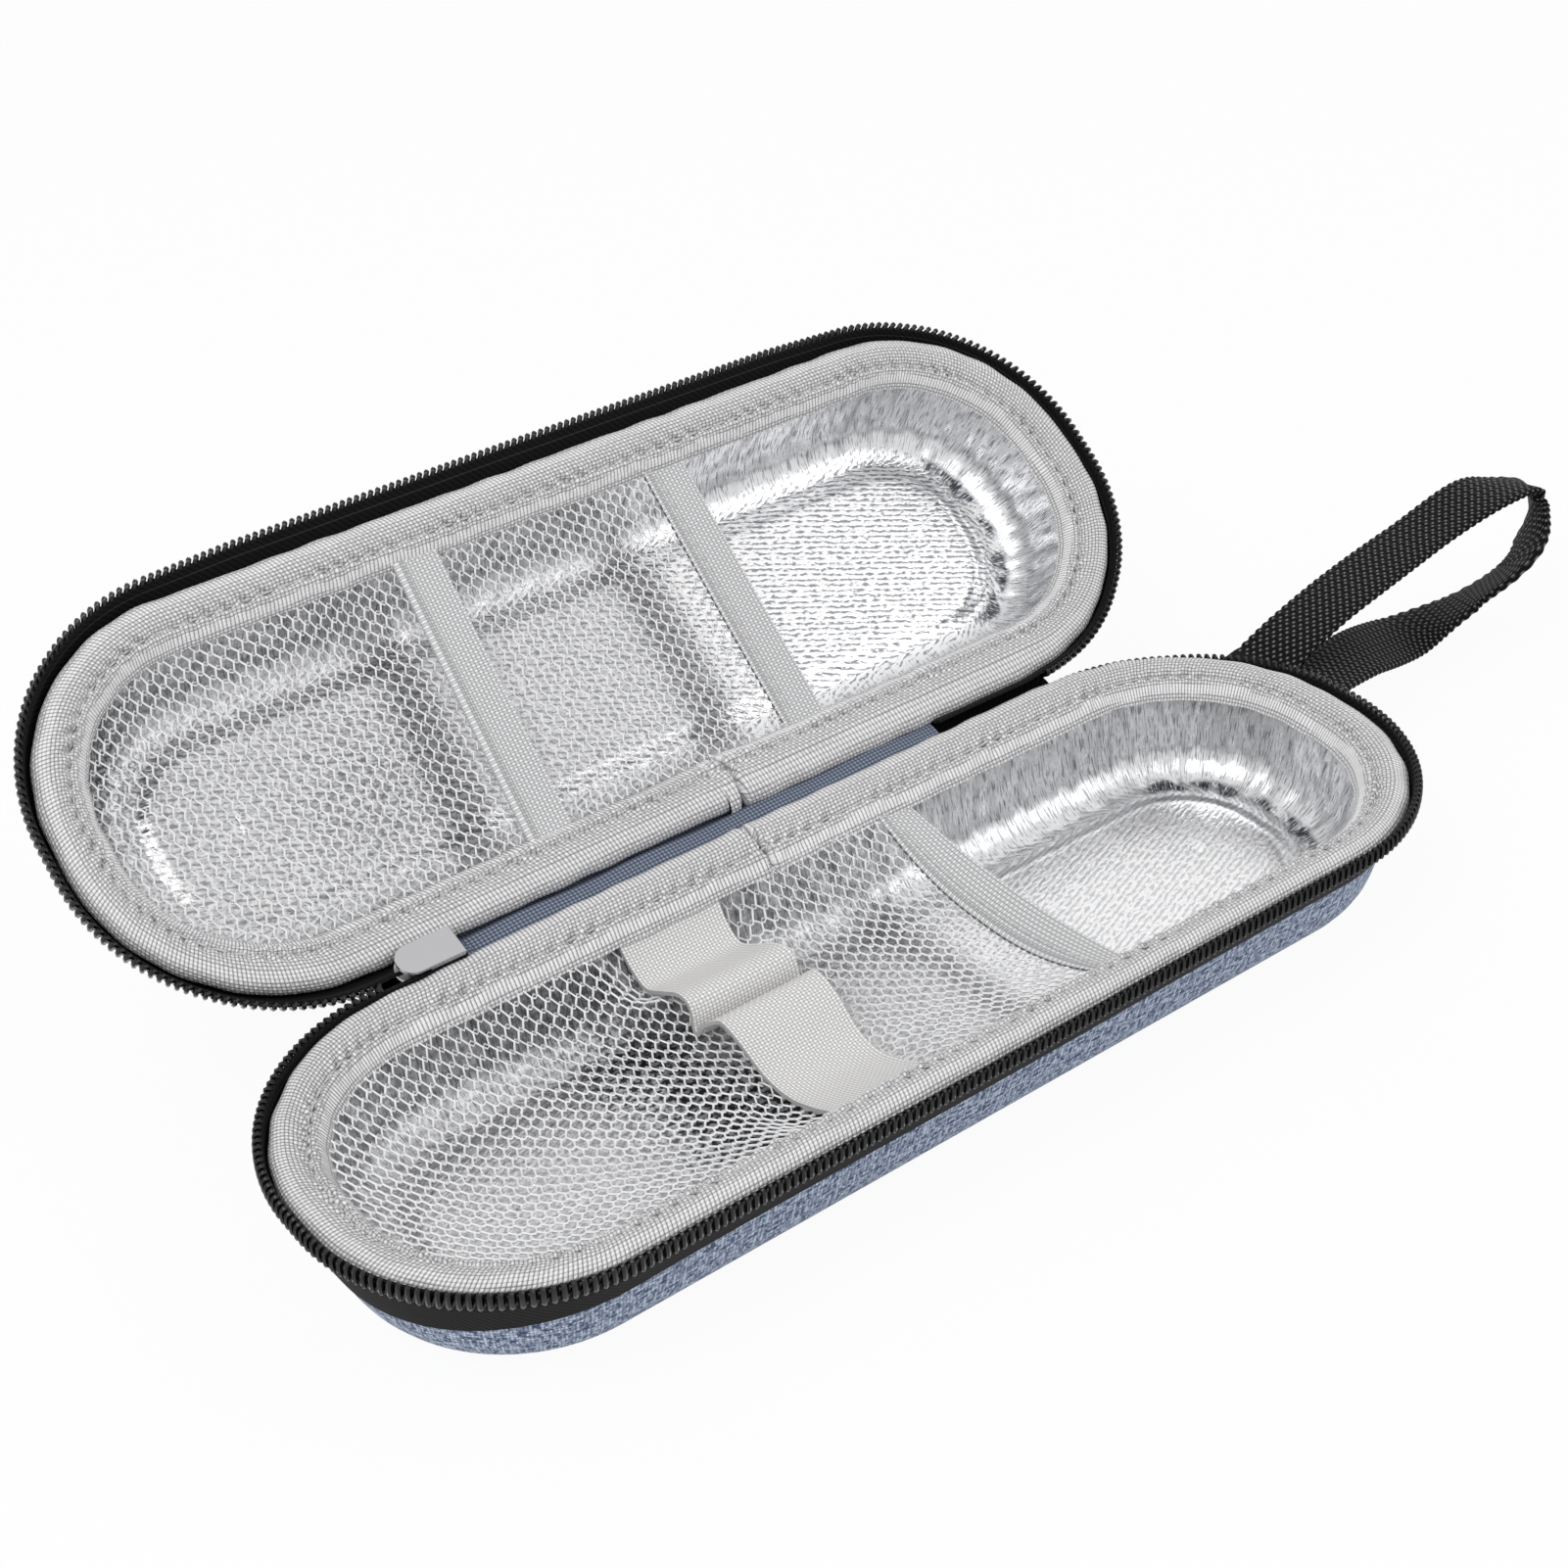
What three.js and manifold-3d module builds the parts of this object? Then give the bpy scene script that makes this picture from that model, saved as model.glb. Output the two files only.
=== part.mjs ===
// Insulated travel case for injection pens, lying open with its lid raised.
// Two moulded halves share one rim outline. A fabric hinge joins them along the back, a coil zipper
// closes them, mesh pockets and an elastic hold the contents, and a webbing loop hangs on one end.
// Millimetres, +Z up. The origin is the centre of the base's flat underside. +X runs along the case
// towards the wrist loop, and +Y runs across it towards the hinge and the lid.
// Inside a half, depth is measured down from the plane where the two rims meet, and inset is
// measured inwards from the outermost line of the binding.

import * as THREE from "three";
import { mergeVertices } from "three/addons/utils/BufferGeometryUtils.js";
import Module from "manifold-3d";

const wasm = await Module();
wasm.setup();

// Rim outline
const rimLength = 200;
const rimWidth = 68.2;
const rimEndFlat = 4.2;
const rimCornerRadius = (rimWidth - rimEndFlat) / 2;
const leastCornerRadius = 1;
const weldDistance = 0.001;
const cornerSteps = 8;

// Moulded half
const halfDepth = 24;
const wallDraft = THREE.MathUtils.degToRad(13);
const floorFillet = 12;
const filletSteps = 3;
const coverInset = 0.8;
const coverThickness = 0.7;
const foamThickness = 2.6;
const foilThickness = 0.4;
const layerGap = 0.2;
const shellTopDepth = 2.4;
const panelMargin = 1;
const panelSlope = 1.4;
const panelRise = 1;

// Binding round the rim
const rollRadius = 2.5;
const rollSteps = 4;
const crestClearance = 0.15;
const crestWidth = 2;
const crestFall = 0.4;
const seamInset = 6.3;
const seamDepth = 1.7;
const bindingThickness = 0.65;
const innerLegDepth = 6.6;
const outerLegDepth = 5.2;

// Zipper
const tapeThickness = 0.55;
const tapeGap = 0.26;
const tapeLowDepth = 10.5;
const tapeTopDepth = 2.9;
const tapeTopOut = 0.27;
const coilOut = 1.7;
const coilThickness = 1.6;
const coilCoreTop = 1.1;
const coilCoreDepth = 2.7;
const toothPitch = 5;
const toothWidth = 1.9;
const toothTip = 0.85;
const toothShoulder = 0.2;
const toothRoot = 0.5;
const toothSideClearance = 0.05;
const toothHeadShare = 0.5;
const chainRightReach = 66;

// Fabric hinge
const hingeOffset = 2.8;
const hingeRightReach = 42;
const hingeLeftReach = 52.5;
const hingeFabricThickness = 0.8;
const hingeFabricLowDepth = 12;
const hingeEdgeGap = 0.6;
const hingeShoulderOut = 0.2;
const hingeShoulderDepth = 4;
const lidRaise = THREE.MathUtils.degToRad(35.6);
const endGap = 0.4;

// Closed end of the zipper, slider and pull
const chainEndLength = 7.4;
const chainEndWidth = 3.8;
const chainEndThickness = 1.3;
const chainEndToothPitch = 1.6;
const chainEndSlot = 0.7;
const chainEndRail = 0.7;
const sliderLength = 10.5;
const sliderTravel = 6;
const sliderToChain = 3.2;
const sliderWidth = 5.4;
const sliderPlate = 0.55;
const channelHeight = 1.8;
const channelWidth = 4.4;
const tapeSlot = 0.9;
const flangeLength = 6;
const wedgeLength = 2.2;
const wedgeWidth = 1.8;
const bridgeLength = 4.4;
const bridgeWidth = 1.8;
const bridgeBar = 0.7;
const bridgePost = 0.6;
const bridgeHole = 1.4;
const eyeBar = 0.9;
const eyeWidth = 3.4;
const eyeSide = 0.55;
const eyeLength = 3.2;
const pullLength = 17;
const pullWidth = 4;
const pullShoulder = 4.4;
const pullThickness = 1;
const roundSteps = 6;

const chainLeftReach = hingeLeftReach + 2 * endGap + sliderLength + sliderTravel + sliderToChain;

// Mesh pockets
const netThickness = 0.6;
const netDepth = 7.2;
const netWallGap = 0.35;
const netBandGap = 0.3;
const netPitch = 8.2;
const netWeb = 1.7;
const netMargin = 1.6;
const baseNetSag = 3;
const lidNetSag = 1.2;
const bandWidth = 6.6;
const bandThickness = 1.1;
const bandEdge = 0.3;
const bandSteps = 12;
const baseBandStart = 20;
const lidLeftBandStart = -31;
const lidMiddleBandStart = 16.5;

// Pen elastic across the base
const elasticStart = -31;
const elasticWidth = 19;
const elasticThickness = 0.9;
const elasticEndGap = 0.5;
const elasticSteps = 36;
const elasticCrestDepth = 1.4;
const elasticNetGap = 0.6;
const elasticTackShare = 0.08;
const elasticTackHalfShare = 0.05;
const elasticDipShare = 0.8;

// Wrist loop: two plies of one webbing that part from a sewn root, one high, one on the ground
const webbingWidth = 12;
const webbingThickness = 1.2;
const strapHeading = THREE.MathUtils.degToRad(11);
const strapRootTopDepth = 3.1;
const strapRootGap = 0.3;
const strapPlyGap = 0.3;
const strapSeatGap = 0.1;
const strapStandOff = 3.6;
const strapFromCorner = rimCornerRadius + strapStandOff;
const strapAside = 5.1;
const strapPlyShift = 4.2;
const strapReach = 87;
const strapTopRise = 1;
const strapGroundGap = 0.1;
const strapSteps = 44;
const strapOutShares = [0, 0.13, 0.28, 0.56, 0.81, 0.93, 1, 0.95, 0.81, 0.61, 0.37, 0.15, 0];
const strapUpShares = [0.8, 0.885, 0.955, 1, 0.96, 0.8, 0.5, 0.2, 0.03, 0, 0.16, 0.5, 0.735];

// Colours and finishes
const denim = { color: 0x6f87ad, roughness: 0.95, metalness: 0 };
const foam = { color: 0x3b3d40, roughness: 0.9, metalness: 0 };
const foil = { color: 0xd5d8db, roughness: 0.28, metalness: 1 };
const bindingCloth = { color: 0xcfcdca, roughness: 0.85, metalness: 0 };
const blackTape = { color: 0x17181a, roughness: 0.8, metalness: 0 };
const blackCoil = { color: 0x101113, roughness: 0.35, metalness: 0 };
const netCloth = { color: 0xd9dadb, roughness: 0.8, metalness: 0 };
const hingeCloth = { color: 0x5a6d94, roughness: 0.9, metalness: 0 };
const satinMetal = { color: 0xb9bbbd, roughness: 0.35, metalness: 1 };

// The cover's wall leans by the draft, so its inset grows with depth
const wallThickness = coverThickness + foamThickness + foilThickness + 2 * layerGap;
const filletCentreDepth = halfDepth - floorFillet;
const filletCentreInset =
  coverInset + floorFillet / Math.cos(wallDraft) + filletCentreDepth * Math.tan(wallDraft);

function wallInset(layer, depth) {
  return coverInset + layer / Math.cos(wallDraft) + depth * Math.tan(wallDraft);
}

// A closed body from points and triangles, turned the right way out
function solid(points, triangles) {
  let volume = 0;
  for (const [a, b, c] of triangles) {
    volume += points[a].dot(points[b].clone().cross(points[c]));
  }
  const geometry = new THREE.BufferGeometry().setFromPoints(points);
  geometry.setIndex(triangles.flatMap(([a, b, c]) => (volume < 0 ? [a, c, b] : [a, b, c])));
  return geometry;
}

// Joins closed geometries into one body
function join(geometries) {
  const solids = geometries.map((geometry) => {
    const bare = geometry.clone();
    bare.deleteAttribute("normal");
    bare.deleteAttribute("uv");
    const merged = mergeVertices(bare, weldDistance);
    return new wasm.Manifold(
      new wasm.Mesh({
        numProp: 3,
        vertProperties: merged.attributes.position.array,
        triVerts: new Uint32Array(merged.index.array),
      }),
    );
  });
  const mesh = solids.reduce((whole, next) => whole.add(next)).getMesh();
  return new THREE.BufferGeometry()
    .setAttribute("position", new THREE.BufferAttribute(mesh.vertProperties, 3))
    .setIndex(new THREE.BufferAttribute(mesh.triVerts, 1));
}

function mesh(name, geometry, finish) {
  const made = new THREE.Mesh(geometry, new THREE.MeshStandardMaterial(finish));
  made.name = name;
  return made;
}

// Corner radius left after the outline has moved inwards
function cornerRadiusAt(inset) {
  return Math.max(rimCornerRadius - inset, leastCornerRadius);
}

// The rounded rectangle of the rim, moved inwards by an inset, at a depth
function rimRing(inset, depth) {
  const radius = cornerRadiusAt(inset);
  const centreX = rimLength / 2 - inset - radius;
  const centreY = rimWidth / 2 - inset - radius;
  const points = [];
  for (let corner = 0; corner < 4; corner++) {
    const sideX = corner === 0 || corner === 3 ? 1 : -1;
    const sideY = corner < 2 ? 1 : -1;
    for (let step = 0; step <= cornerSteps; step++) {
      const turn = ((corner + step / cornerSteps) * Math.PI) / 2;
      points.push(
        new THREE.Vector3(
          sideX * centreX + radius * Math.cos(turn),
          sideY * centreY + radius * Math.sin(turn),
          -depth,
        ),
      );
    }
  }
  return points;
}

// Joins rows of points with quads; an open list of rows gets a fan cap at each end
function loft(rows, looped) {
  const count = rows[0].length;
  const points = rows.flat();
  const triangles = [];
  const bands = looped ? rows.length : rows.length - 1;
  for (let band = 0; band < bands; band++) {
    const low = band * count;
    const high = ((band + 1) % rows.length) * count;
    for (let i = 0; i < count; i++) {
      const next = (i + 1) % count;
      triangles.push([low + i, low + next, high + next], [low + i, high + next, high + i]);
    }
  }
  if (!looped) {
    for (const [start, flipped] of [[0, true], [(rows.length - 1) * count, false]]) {
      const row = points.slice(start, start + count);
      const centre = row.reduce((sum, p) => sum.add(p), new THREE.Vector3()).divideScalar(count);
      points.push(centre);
      for (let i = 0; i < count; i++) {
        const next = (i + 1) % count;
        const fan = [start + i, start + next, points.length - 1];
        triangles.push(flipped ? [fan[1], fan[0], fan[2]] : fan);
      }
    }
  }
  return solid(points, triangles);
}

// Inset and depth of one layer's face, from its top edge down the wall and round the fillet
function layerFace(layer, topDepth) {
  const face = [[wallInset(layer, topDepth), topDepth]];
  for (let step = 0; step <= filletSteps; step++) {
    const turn = wallDraft + ((Math.PI / 2 - wallDraft) * step) / filletSteps;
    face.push([
      filletCentreInset - (floorFillet - layer) * Math.cos(turn),
      filletCentreDepth + (floorFillet - layer) * Math.sin(turn),
    ]);
  }
  return face;
}

// The raised panel that is moulded into the floor
function panelFace(layer) {
  const floorDepth = halfDepth - layer;
  return [
    [filletCentreInset + panelMargin, floorDepth],
    [filletCentreInset + panelMargin + panelSlope, floorDepth - panelRise],
  ];
}

// One layer of a moulded tray between two faces
function trayLayer(outerLayer, innerLayer, outerPanel, innerPanel) {
  const outer = layerFace(outerLayer, shellTopDepth);
  const inner = layerFace(innerLayer, shellTopDepth);
  if (outerPanel) outer.push(...panelFace(outerLayer));
  if (innerPanel) inner.push(...panelFace(innerLayer));
  const section = [...outer.reverse(), ...inner];
  return loft(section.map(([inset, depth]) => rimRing(inset, depth)), false);
}

// Padded binding: a roll over the rim with one leg outside the cover and one on the lining
function bindingRing() {
  const rollDepth = crestClearance + rollRadius;
  const rimTop = shellTopDepth - layerGap;
  const innerFace = (depth) => wallInset(wallThickness, depth) + layerGap;
  const outerFace = (depth) => wallInset(0, depth) - layerGap / Math.cos(wallDraft);
  const section = [];
  for (let step = 0; step <= rollSteps; step++) {
    const turn = (Math.PI / 2) * (step / rollSteps);
    section.push([
      rollRadius * (1 - Math.cos(turn)),
      rollDepth - rollRadius * Math.sin(turn),
    ]);
  }
  section.push([rollRadius + crestWidth, crestClearance + crestFall]);
  section.push([seamInset, seamDepth]);
  section.push([innerFace(innerLegDepth) + bindingThickness, innerLegDepth]);
  section.push([innerFace(innerLegDepth), innerLegDepth]);
  section.push([innerFace(rimTop), rimTop]);
  section.push([outerFace(rimTop), rimTop]);
  section.push([outerFace(outerLegDepth), outerLegDepth]);
  section.push([outerFace(outerLegDepth) - bindingThickness, outerLegDepth]);
  return loft(section.map(([inset, depth]) => rimRing(inset, depth)), true);
}

// A point on the rim outline moved outwards, at a distance along it from the middle of the back,
// clockwise seen from above, with the outward direction there
const halfStraight = rimLength / 2 - rimCornerRadius;
const halfEnd = rimWidth / 2 - rimCornerRadius;

function rimLegs(out) {
  const quarter = ((rimCornerRadius + out) * Math.PI) / 2;
  return [
    { length: halfStraight, straight: true },
    { length: quarter, straight: false, sideX: 1, sideY: 1 },
    { length: 2 * halfEnd, straight: true },
    { length: quarter, straight: false, sideX: 1, sideY: -1 },
    { length: 2 * halfStraight, straight: true },
    { length: quarter, straight: false, sideX: -1, sideY: -1 },
    { length: 2 * halfEnd, straight: true },
    { length: quarter, straight: false, sideX: -1, sideY: 1 },
    { length: halfStraight, straight: true },
  ];
}

function rimTotal(out) {
  return rimLegs(out).reduce((sum, leg) => sum + leg.length, 0);
}

function rimPoint(along, out) {
  let facing = Math.PI / 2;
  let left = along;
  let corner = new THREE.Vector2(0, rimWidth / 2 + out);
  for (const leg of rimLegs(out)) {
    const run = Math.min(left, leg.length);
    if (leg.straight) {
      corner.x += run * Math.sin(facing);
      corner.y -= run * Math.cos(facing);
    } else {
      facing -= run / (rimCornerRadius + out);
      corner.set(
        leg.sideX * halfStraight + (rimCornerRadius + out) * Math.cos(facing),
        leg.sideY * halfEnd + (rimCornerRadius + out) * Math.sin(facing),
      );
    }
    left -= run;
    if (left <= 0) break;
  }
  return { place: corner, facing };
}

// Distances along the outline where a swept strip needs a section
function rimStops(from, to) {
  const stops = [from];
  let start = 0;
  for (const leg of rimLegs(0)) {
    const parts = leg.straight ? 1 : cornerSteps;
    for (let part = 1; part <= parts; part++) {
      const stop = start + (leg.length * part) / parts;
      if (stop > stops.at(-1) + leastCornerRadius && stop < to - leastCornerRadius) stops.push(stop);
    }
    start += leg.length;
  }
  return [...stops, to];
}

// A strip made of rows of section points, with both ends closed
function capped(rows, section) {
  const count = section.length;
  const points = rows.flat();
  const triangles = [];
  for (let row = 0; row + 1 < rows.length; row++) {
    for (let i = 0; i < count; i++) {
      const a = row * count + i;
      const b = row * count + ((i + 1) % count);
      triangles.push([a, b, b + count], [a, b + count, a + count]);
    }
  }
  const last = (rows.length - 1) * count;
  const outline = section.map(([x, y]) => new THREE.Vector2(x, y));
  const clockwise = THREE.ShapeUtils.isClockWise(outline);
  for (const face of THREE.ShapeUtils.triangulateShape(outline, [])) {
    const [a, b, c] = clockwise ? face.reverse() : face;
    triangles.push([a, c, b], [last + a, last + b, last + c]);
  }
  return solid(points, triangles);
}

// A strip that follows the rim; its section is given as distance outwards and depth
function rimStrip(section, from, to) {
  const rows = rimStops(from, to).map((along) => {
    const { place, facing } = rimPoint(along, 0);
    return section.map(
      ([out, depth]) =>
        new THREE.Vector3(
          place.x + out * Math.cos(facing),
          place.y + out * Math.sin(facing),
          -depth,
        ),
    );
  });
  return capped(rows, section);
}

// Woven zipper tape: flat on the cover's wall, then up the outside of the roll to the coil
function zipperTape() {
  const innerFace = [
    [-wallInset(0, tapeLowDepth) + tapeGap, tapeLowDepth],
    [tapeGap - wallInset(-bindingThickness - layerGap, outerLegDepth), outerLegDepth],
    [tapeTopOut, tapeTopDepth],
  ];
  const outerFace = innerFace.map(([out, depth]) => [out + tapeThickness, depth]);
  const section = [...innerFace, ...outerFace.reverse()];
  return rimStrip(section, hingeRightReach + endGap, rimTotal(0) - hingeLeftReach - endGap);
}

// Half of the zipper chain: a core with a tooth every pitch; the other half's teeth lie between
function zipperChain(phaseShare) {
  const half = coilThickness / 2;
  const core = rimStrip(
    [
      [coilOut - half, coilCoreTop],
      [coilOut + half, coilCoreTop],
      [coilOut + half, coilCoreDepth],
      [coilOut - half, coilCoreDepth],
    ],
    chainRightReach,
    rimTotal(0) - chainLeftReach,
  );
  const toothDepth = coilThickness - 2 * toothSideClearance;
  const outline = new THREE.Shape([
    new THREE.Vector2(-toothWidth / 2, -coilCoreTop - toothRoot),
    new THREE.Vector2(toothWidth / 2, -coilCoreTop - toothRoot),
    new THREE.Vector2(toothWidth / 2, toothShoulder),
    new THREE.Vector2((toothWidth * toothHeadShare) / 2, toothTip),
    new THREE.Vector2((-toothWidth * toothHeadShare) / 2, toothTip),
    new THREE.Vector2(-toothWidth / 2, toothShoulder),
  ]);
  const tooth = new THREE.ExtrudeGeometry(outline, { depth: toothDepth, bevelEnabled: false })
    .translate(0, 0, -toothDepth / 2)
    .rotateX(Math.PI / 2);
  const from = chainRightReach + toothWidth;
  const run = rimTotal(coilOut) - chainLeftReach - toothWidth - from;
  const count = Math.max(1, Math.floor(run / toothPitch));
  const teeth = [];
  for (let i = 0; i < count; i++) {
    const { place, facing } = rimPoint(from + ((i + phaseShare) * run) / count, coilOut);
    teeth.push(
      tooth
        .clone()
        .rotateZ(facing - Math.PI / 2)
        .translate(place.x, place.y, 0),
    );
  }
  return join([core, ...teeth]);
}

// Half of the hinge fabric: glued on the wall, then over to just short of the hinge line
function hingeFabric() {
  const reach = hingeEdgeGap * Math.SQRT1_2;
  const innerFace = [
    [-wallInset(0, hingeFabricLowDepth) + tapeGap, hingeFabricLowDepth],
    [tapeGap - wallInset(-bindingThickness - layerGap, outerLegDepth), outerLegDepth],
    [hingeShoulderOut, hingeShoulderDepth - hingeFabricThickness],
    [hingeOffset - hingeEdgeGap - reach, hingeEdgeGap],
  ];
  const outerFace = [
    [hingeOffset - hingeEdgeGap, hingeEdgeGap + reach],
    [hingeShoulderOut + hingeFabricThickness, hingeShoulderDepth],
    [innerFace[1][0] + hingeFabricThickness, outerLegDepth],
    [innerFace[0][0] + hingeFabricThickness, hingeFabricLowDepth],
  ];
  const section = [...innerFace, ...outerFace];
  const rows = [hingeRightReach, -hingeLeftReach].map((x) =>
    section.map(([out, depth]) => new THREE.Vector3(x, rimWidth / 2 + out, -depth)),
  );
  return capped(rows, section);
}

// Half the width and length that are clear inside the lining at a depth
function clearHalfWidth(depth) {
  return rimWidth / 2 - wallInset(wallThickness, depth) - netWallGap;
}

// Share of the way from the nearest fixed edge of a net to the middle of the tray
function netShare(x, y) {
  const inset = rimWidth / 2 - clearHalfWidth(netDepth);
  const radius = cornerRadiusAt(inset);
  const overX = Math.max(0, -x - (rimLength / 2 - inset - radius));
  const overY = Math.max(0, Math.abs(y) - (rimWidth / 2 - inset - radius));
  return Math.max(0, 1 - Math.hypot(overX, overY) / radius);
}

// How far a net or band hangs below its fixed edges
function sagAt(x, y, sag) {
  return sag * (1 - (1 - netShare(x, y)) ** 2);
}

// Flat net between two places along the tray, with hexagonal gaps
function pocketNet(fromX, toX, sag) {
  const inset = wallInset(wallThickness, netDepth) + netWallGap;
  const ring = rimRing(inset, netDepth).filter((p) => p.x > fromX && p.x < toX);
  const half = clearHalfWidth(netDepth);
  const corners = [new THREE.Vector2(toX, -half), new THREE.Vector2(toX, half)];
  for (const p of ring) corners.push(new THREE.Vector2(p.x, p.y));
  if (!ring.length) corners.push(new THREE.Vector2(fromX, half), new THREE.Vector2(fromX, -half));
  const outline = new THREE.Shape(corners);
  const radius = (netPitch - netWeb) / Math.sqrt(3);
  const rowPitch = (netPitch * Math.sqrt(3)) / 2;
  const rows = Math.floor((half - netMargin - radius) / rowPitch);
  const farLeft = Math.max(fromX, inset - rimLength / 2);
  const leastShare = (radius + netMargin) / cornerRadiusAt(inset);
  for (let row = -rows; row <= rows; row++) {
    const shift = row % 2 === 0 ? 0 : netPitch / 2;
    const y = row * rowPitch;
    for (let x = toX - netMargin - netPitch / 2 - shift; x > farLeft; x -= netPitch) {
      if (netShare(x, y) < leastShare || x - radius - netMargin < farLeft) continue;
      const gap = [];
      for (let corner = 0; corner < 6; corner++) {
        const turn = ((corner + 0.5) * Math.PI) / 3;
        gap.push(new THREE.Vector2(x + radius * Math.cos(turn), y + radius * Math.sin(turn)));
      }
      outline.holes.push(new THREE.Path(gap));
    }
  }
  const net = new THREE.ExtrudeGeometry(outline, { depth: netThickness, bevelEnabled: false });
  const place = net.attributes.position;
  for (let i = 0; i < place.count; i++) {
    const drop = sagAt(place.getX(i), place.getY(i), sag);
    place.setZ(i, place.getZ(i) - netDepth - netThickness - drop);
  }
  return net;
}

// Woven tape along the mouth of a pocket
function edgeBand(startX, sag) {
  const half = bandThickness / 2;
  const section = [
    [0, half - bandEdge],
    [bandEdge, half],
    [bandWidth - bandEdge, half],
    [bandWidth, half - bandEdge],
    [bandWidth, bandEdge - half],
    [bandWidth - bandEdge, -half],
    [bandEdge, -half],
    [0, bandEdge - half],
  ];
  const reach = clearHalfWidth(netDepth + bandThickness);
  const rows = [];
  for (let step = 0; step <= bandSteps; step++) {
    const y = reach * ((2 * step) / bandSteps - 1);
    rows.push(
      section.map(([x, z]) => {
        const drop = sagAt(startX + x, y, sag);
        return new THREE.Vector3(startX + x, y, z - netDepth - netThickness / 2 - drop);
      }),
    );
  }
  return capped(rows, section);
}

// Depth of the pen elastic's lower face across the tray; it is tacked down once near the middle
function elasticDepth(share) {
  const y = share * clearHalfWidth(netDepth);
  const net = netDepth + sagAt(elasticStart, y, baseNetSag) - elasticNetGap - elasticThickness;
  const fromTack = Math.abs(share - elasticTackShare);
  const span = share > elasticTackShare ? 1 - elasticTackShare : 1 + elasticTackShare;
  const along = (fromTack - elasticTackHalfShare) / (span * elasticDipShare - elasticTackHalfShare);
  if (along <= 0 || along >= 1) return net;
  const rise = Math.sin(Math.PI * along) ** 2;
  return net + (elasticCrestDepth - net) * rise;
}

// Wide elastic that makes two pen loops over the net
function penElastic() {
  const reach = clearHalfWidth(netDepth) - elasticEndGap;
  const section = [
    [elasticStart, 0],
    [elasticStart + elasticWidth, 0],
    [elasticStart + elasticWidth, elasticThickness],
    [elasticStart, elasticThickness],
  ];
  const rows = [];
  for (let step = 0; step <= elasticSteps; step++) {
    const share = (2 * step) / elasticSteps - 1;
    rows.push(
      section.map(
        ([x, down]) => new THREE.Vector3(x, share * reach, -elasticDepth(share) - down),
      ),
    );
  }
  return capped(rows, section);
}

// The lining, foam, cover, binding, tape, chain and hinge fabric that both halves share
function halfShell(prefix, phaseShare) {
  const group = new THREE.Group();
  const foamOuter = coverThickness + layerGap;
  const foamInner = foamOuter + foamThickness;
  group.add(
    mesh(prefix + "_fabric_cover", trayLayer(0, coverThickness, false, false), denim),
    mesh(prefix + "_foam_shell", trayLayer(foamOuter, foamInner, false, true), foam),
    mesh(
      prefix + "_foil_lining",
      trayLayer(foamInner + layerGap, wallThickness, true, true),
      foil,
    ),
    mesh(prefix + "_binding_tape", bindingRing(), bindingCloth),
    mesh(prefix + "_zipper_tape", zipperTape(), blackTape),
    mesh(prefix + "_zipper_chain", zipperChain(phaseShare), blackCoil),
    mesh(prefix + "_hinge_fabric", hingeFabric(), hingeCloth),
  );
  return group;
}

// Base with one long pocket, its edge band and the pen elastic
function baseHalf() {
  const group = halfShell("base", 0.25);
  group.add(
    mesh(
      "base_pocket_net",
      pocketNet(-rimLength, baseBandStart - netBandGap, baseNetSag),
      netCloth,
    ),
    mesh("base_pocket_edge_band", edgeBand(baseBandStart, baseNetSag), bindingCloth),
    mesh("base_pen_elastic", penElastic(), bindingCloth),
  );
  return group;
}

// Lid with two pockets side by side
function lidHalf() {
  const group = halfShell("lid", 0.75);
  const middleStart = lidLeftBandStart + bandWidth + netBandGap;
  group.add(
    mesh(
      "lid_left_pocket_net",
      pocketNet(-rimLength, lidLeftBandStart - netBandGap, lidNetSag),
      netCloth,
    ),
    mesh("lid_left_edge_band", edgeBand(lidLeftBandStart, lidNetSag), bindingCloth),
    mesh(
      "lid_middle_pocket_net",
      pocketNet(middleStart, lidMiddleBandStart - netBandGap, lidNetSag),
      netCloth,
    ),
    mesh("lid_middle_edge_band", edgeBand(lidMiddleBandStart, lidNetSag), bindingCloth),
  );
  return group;
}

// Short stretch of closed chain on the hinge line: two rails with the meshed teeth as rungs
function chainEnd() {
  const rungs = Math.floor(chainEndLength / chainEndToothPitch);
  const rungLength = chainEndLength / rungs - chainEndSlot;
  const parts = [];
  for (const side of [-1, 1]) {
    parts.push(
      new THREE.BoxGeometry(chainEndLength, chainEndRail, chainEndThickness).translate(
        chainEndLength / 2,
        (side * (chainEndWidth - chainEndRail)) / 2,
        0,
      ),
    );
  }
  for (let i = 0; i < rungs; i++) {
    parts.push(
      new THREE.BoxGeometry(
        rungLength,
        chainEndWidth - chainEndRail,
        chainEndThickness - 2 * toothSideClearance,
      ).translate((chainEndLength * (i + 0.5)) / rungs, 0, 0),
    );
  }
  return join(parts);
}

// Plan of a slider plate: straight sides behind, a round nose in front (towards -X)
function sliderPlan() {
  const half = sliderWidth / 2;
  const nose = half;
  const outline = new THREE.Shape();
  outline.moveTo(sliderLength, -half);
  outline.lineTo(sliderLength, half);
  outline.lineTo(nose, half);
  for (let step = 1; step < 2 * roundSteps; step++) {
    const turn = Math.PI / 2 + (Math.PI * step) / (2 * roundSteps);
    outline.lineTo(nose + nose * Math.cos(turn), half * Math.sin(turn));
  }
  outline.lineTo(nose, -half);
  return outline;
}

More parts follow.
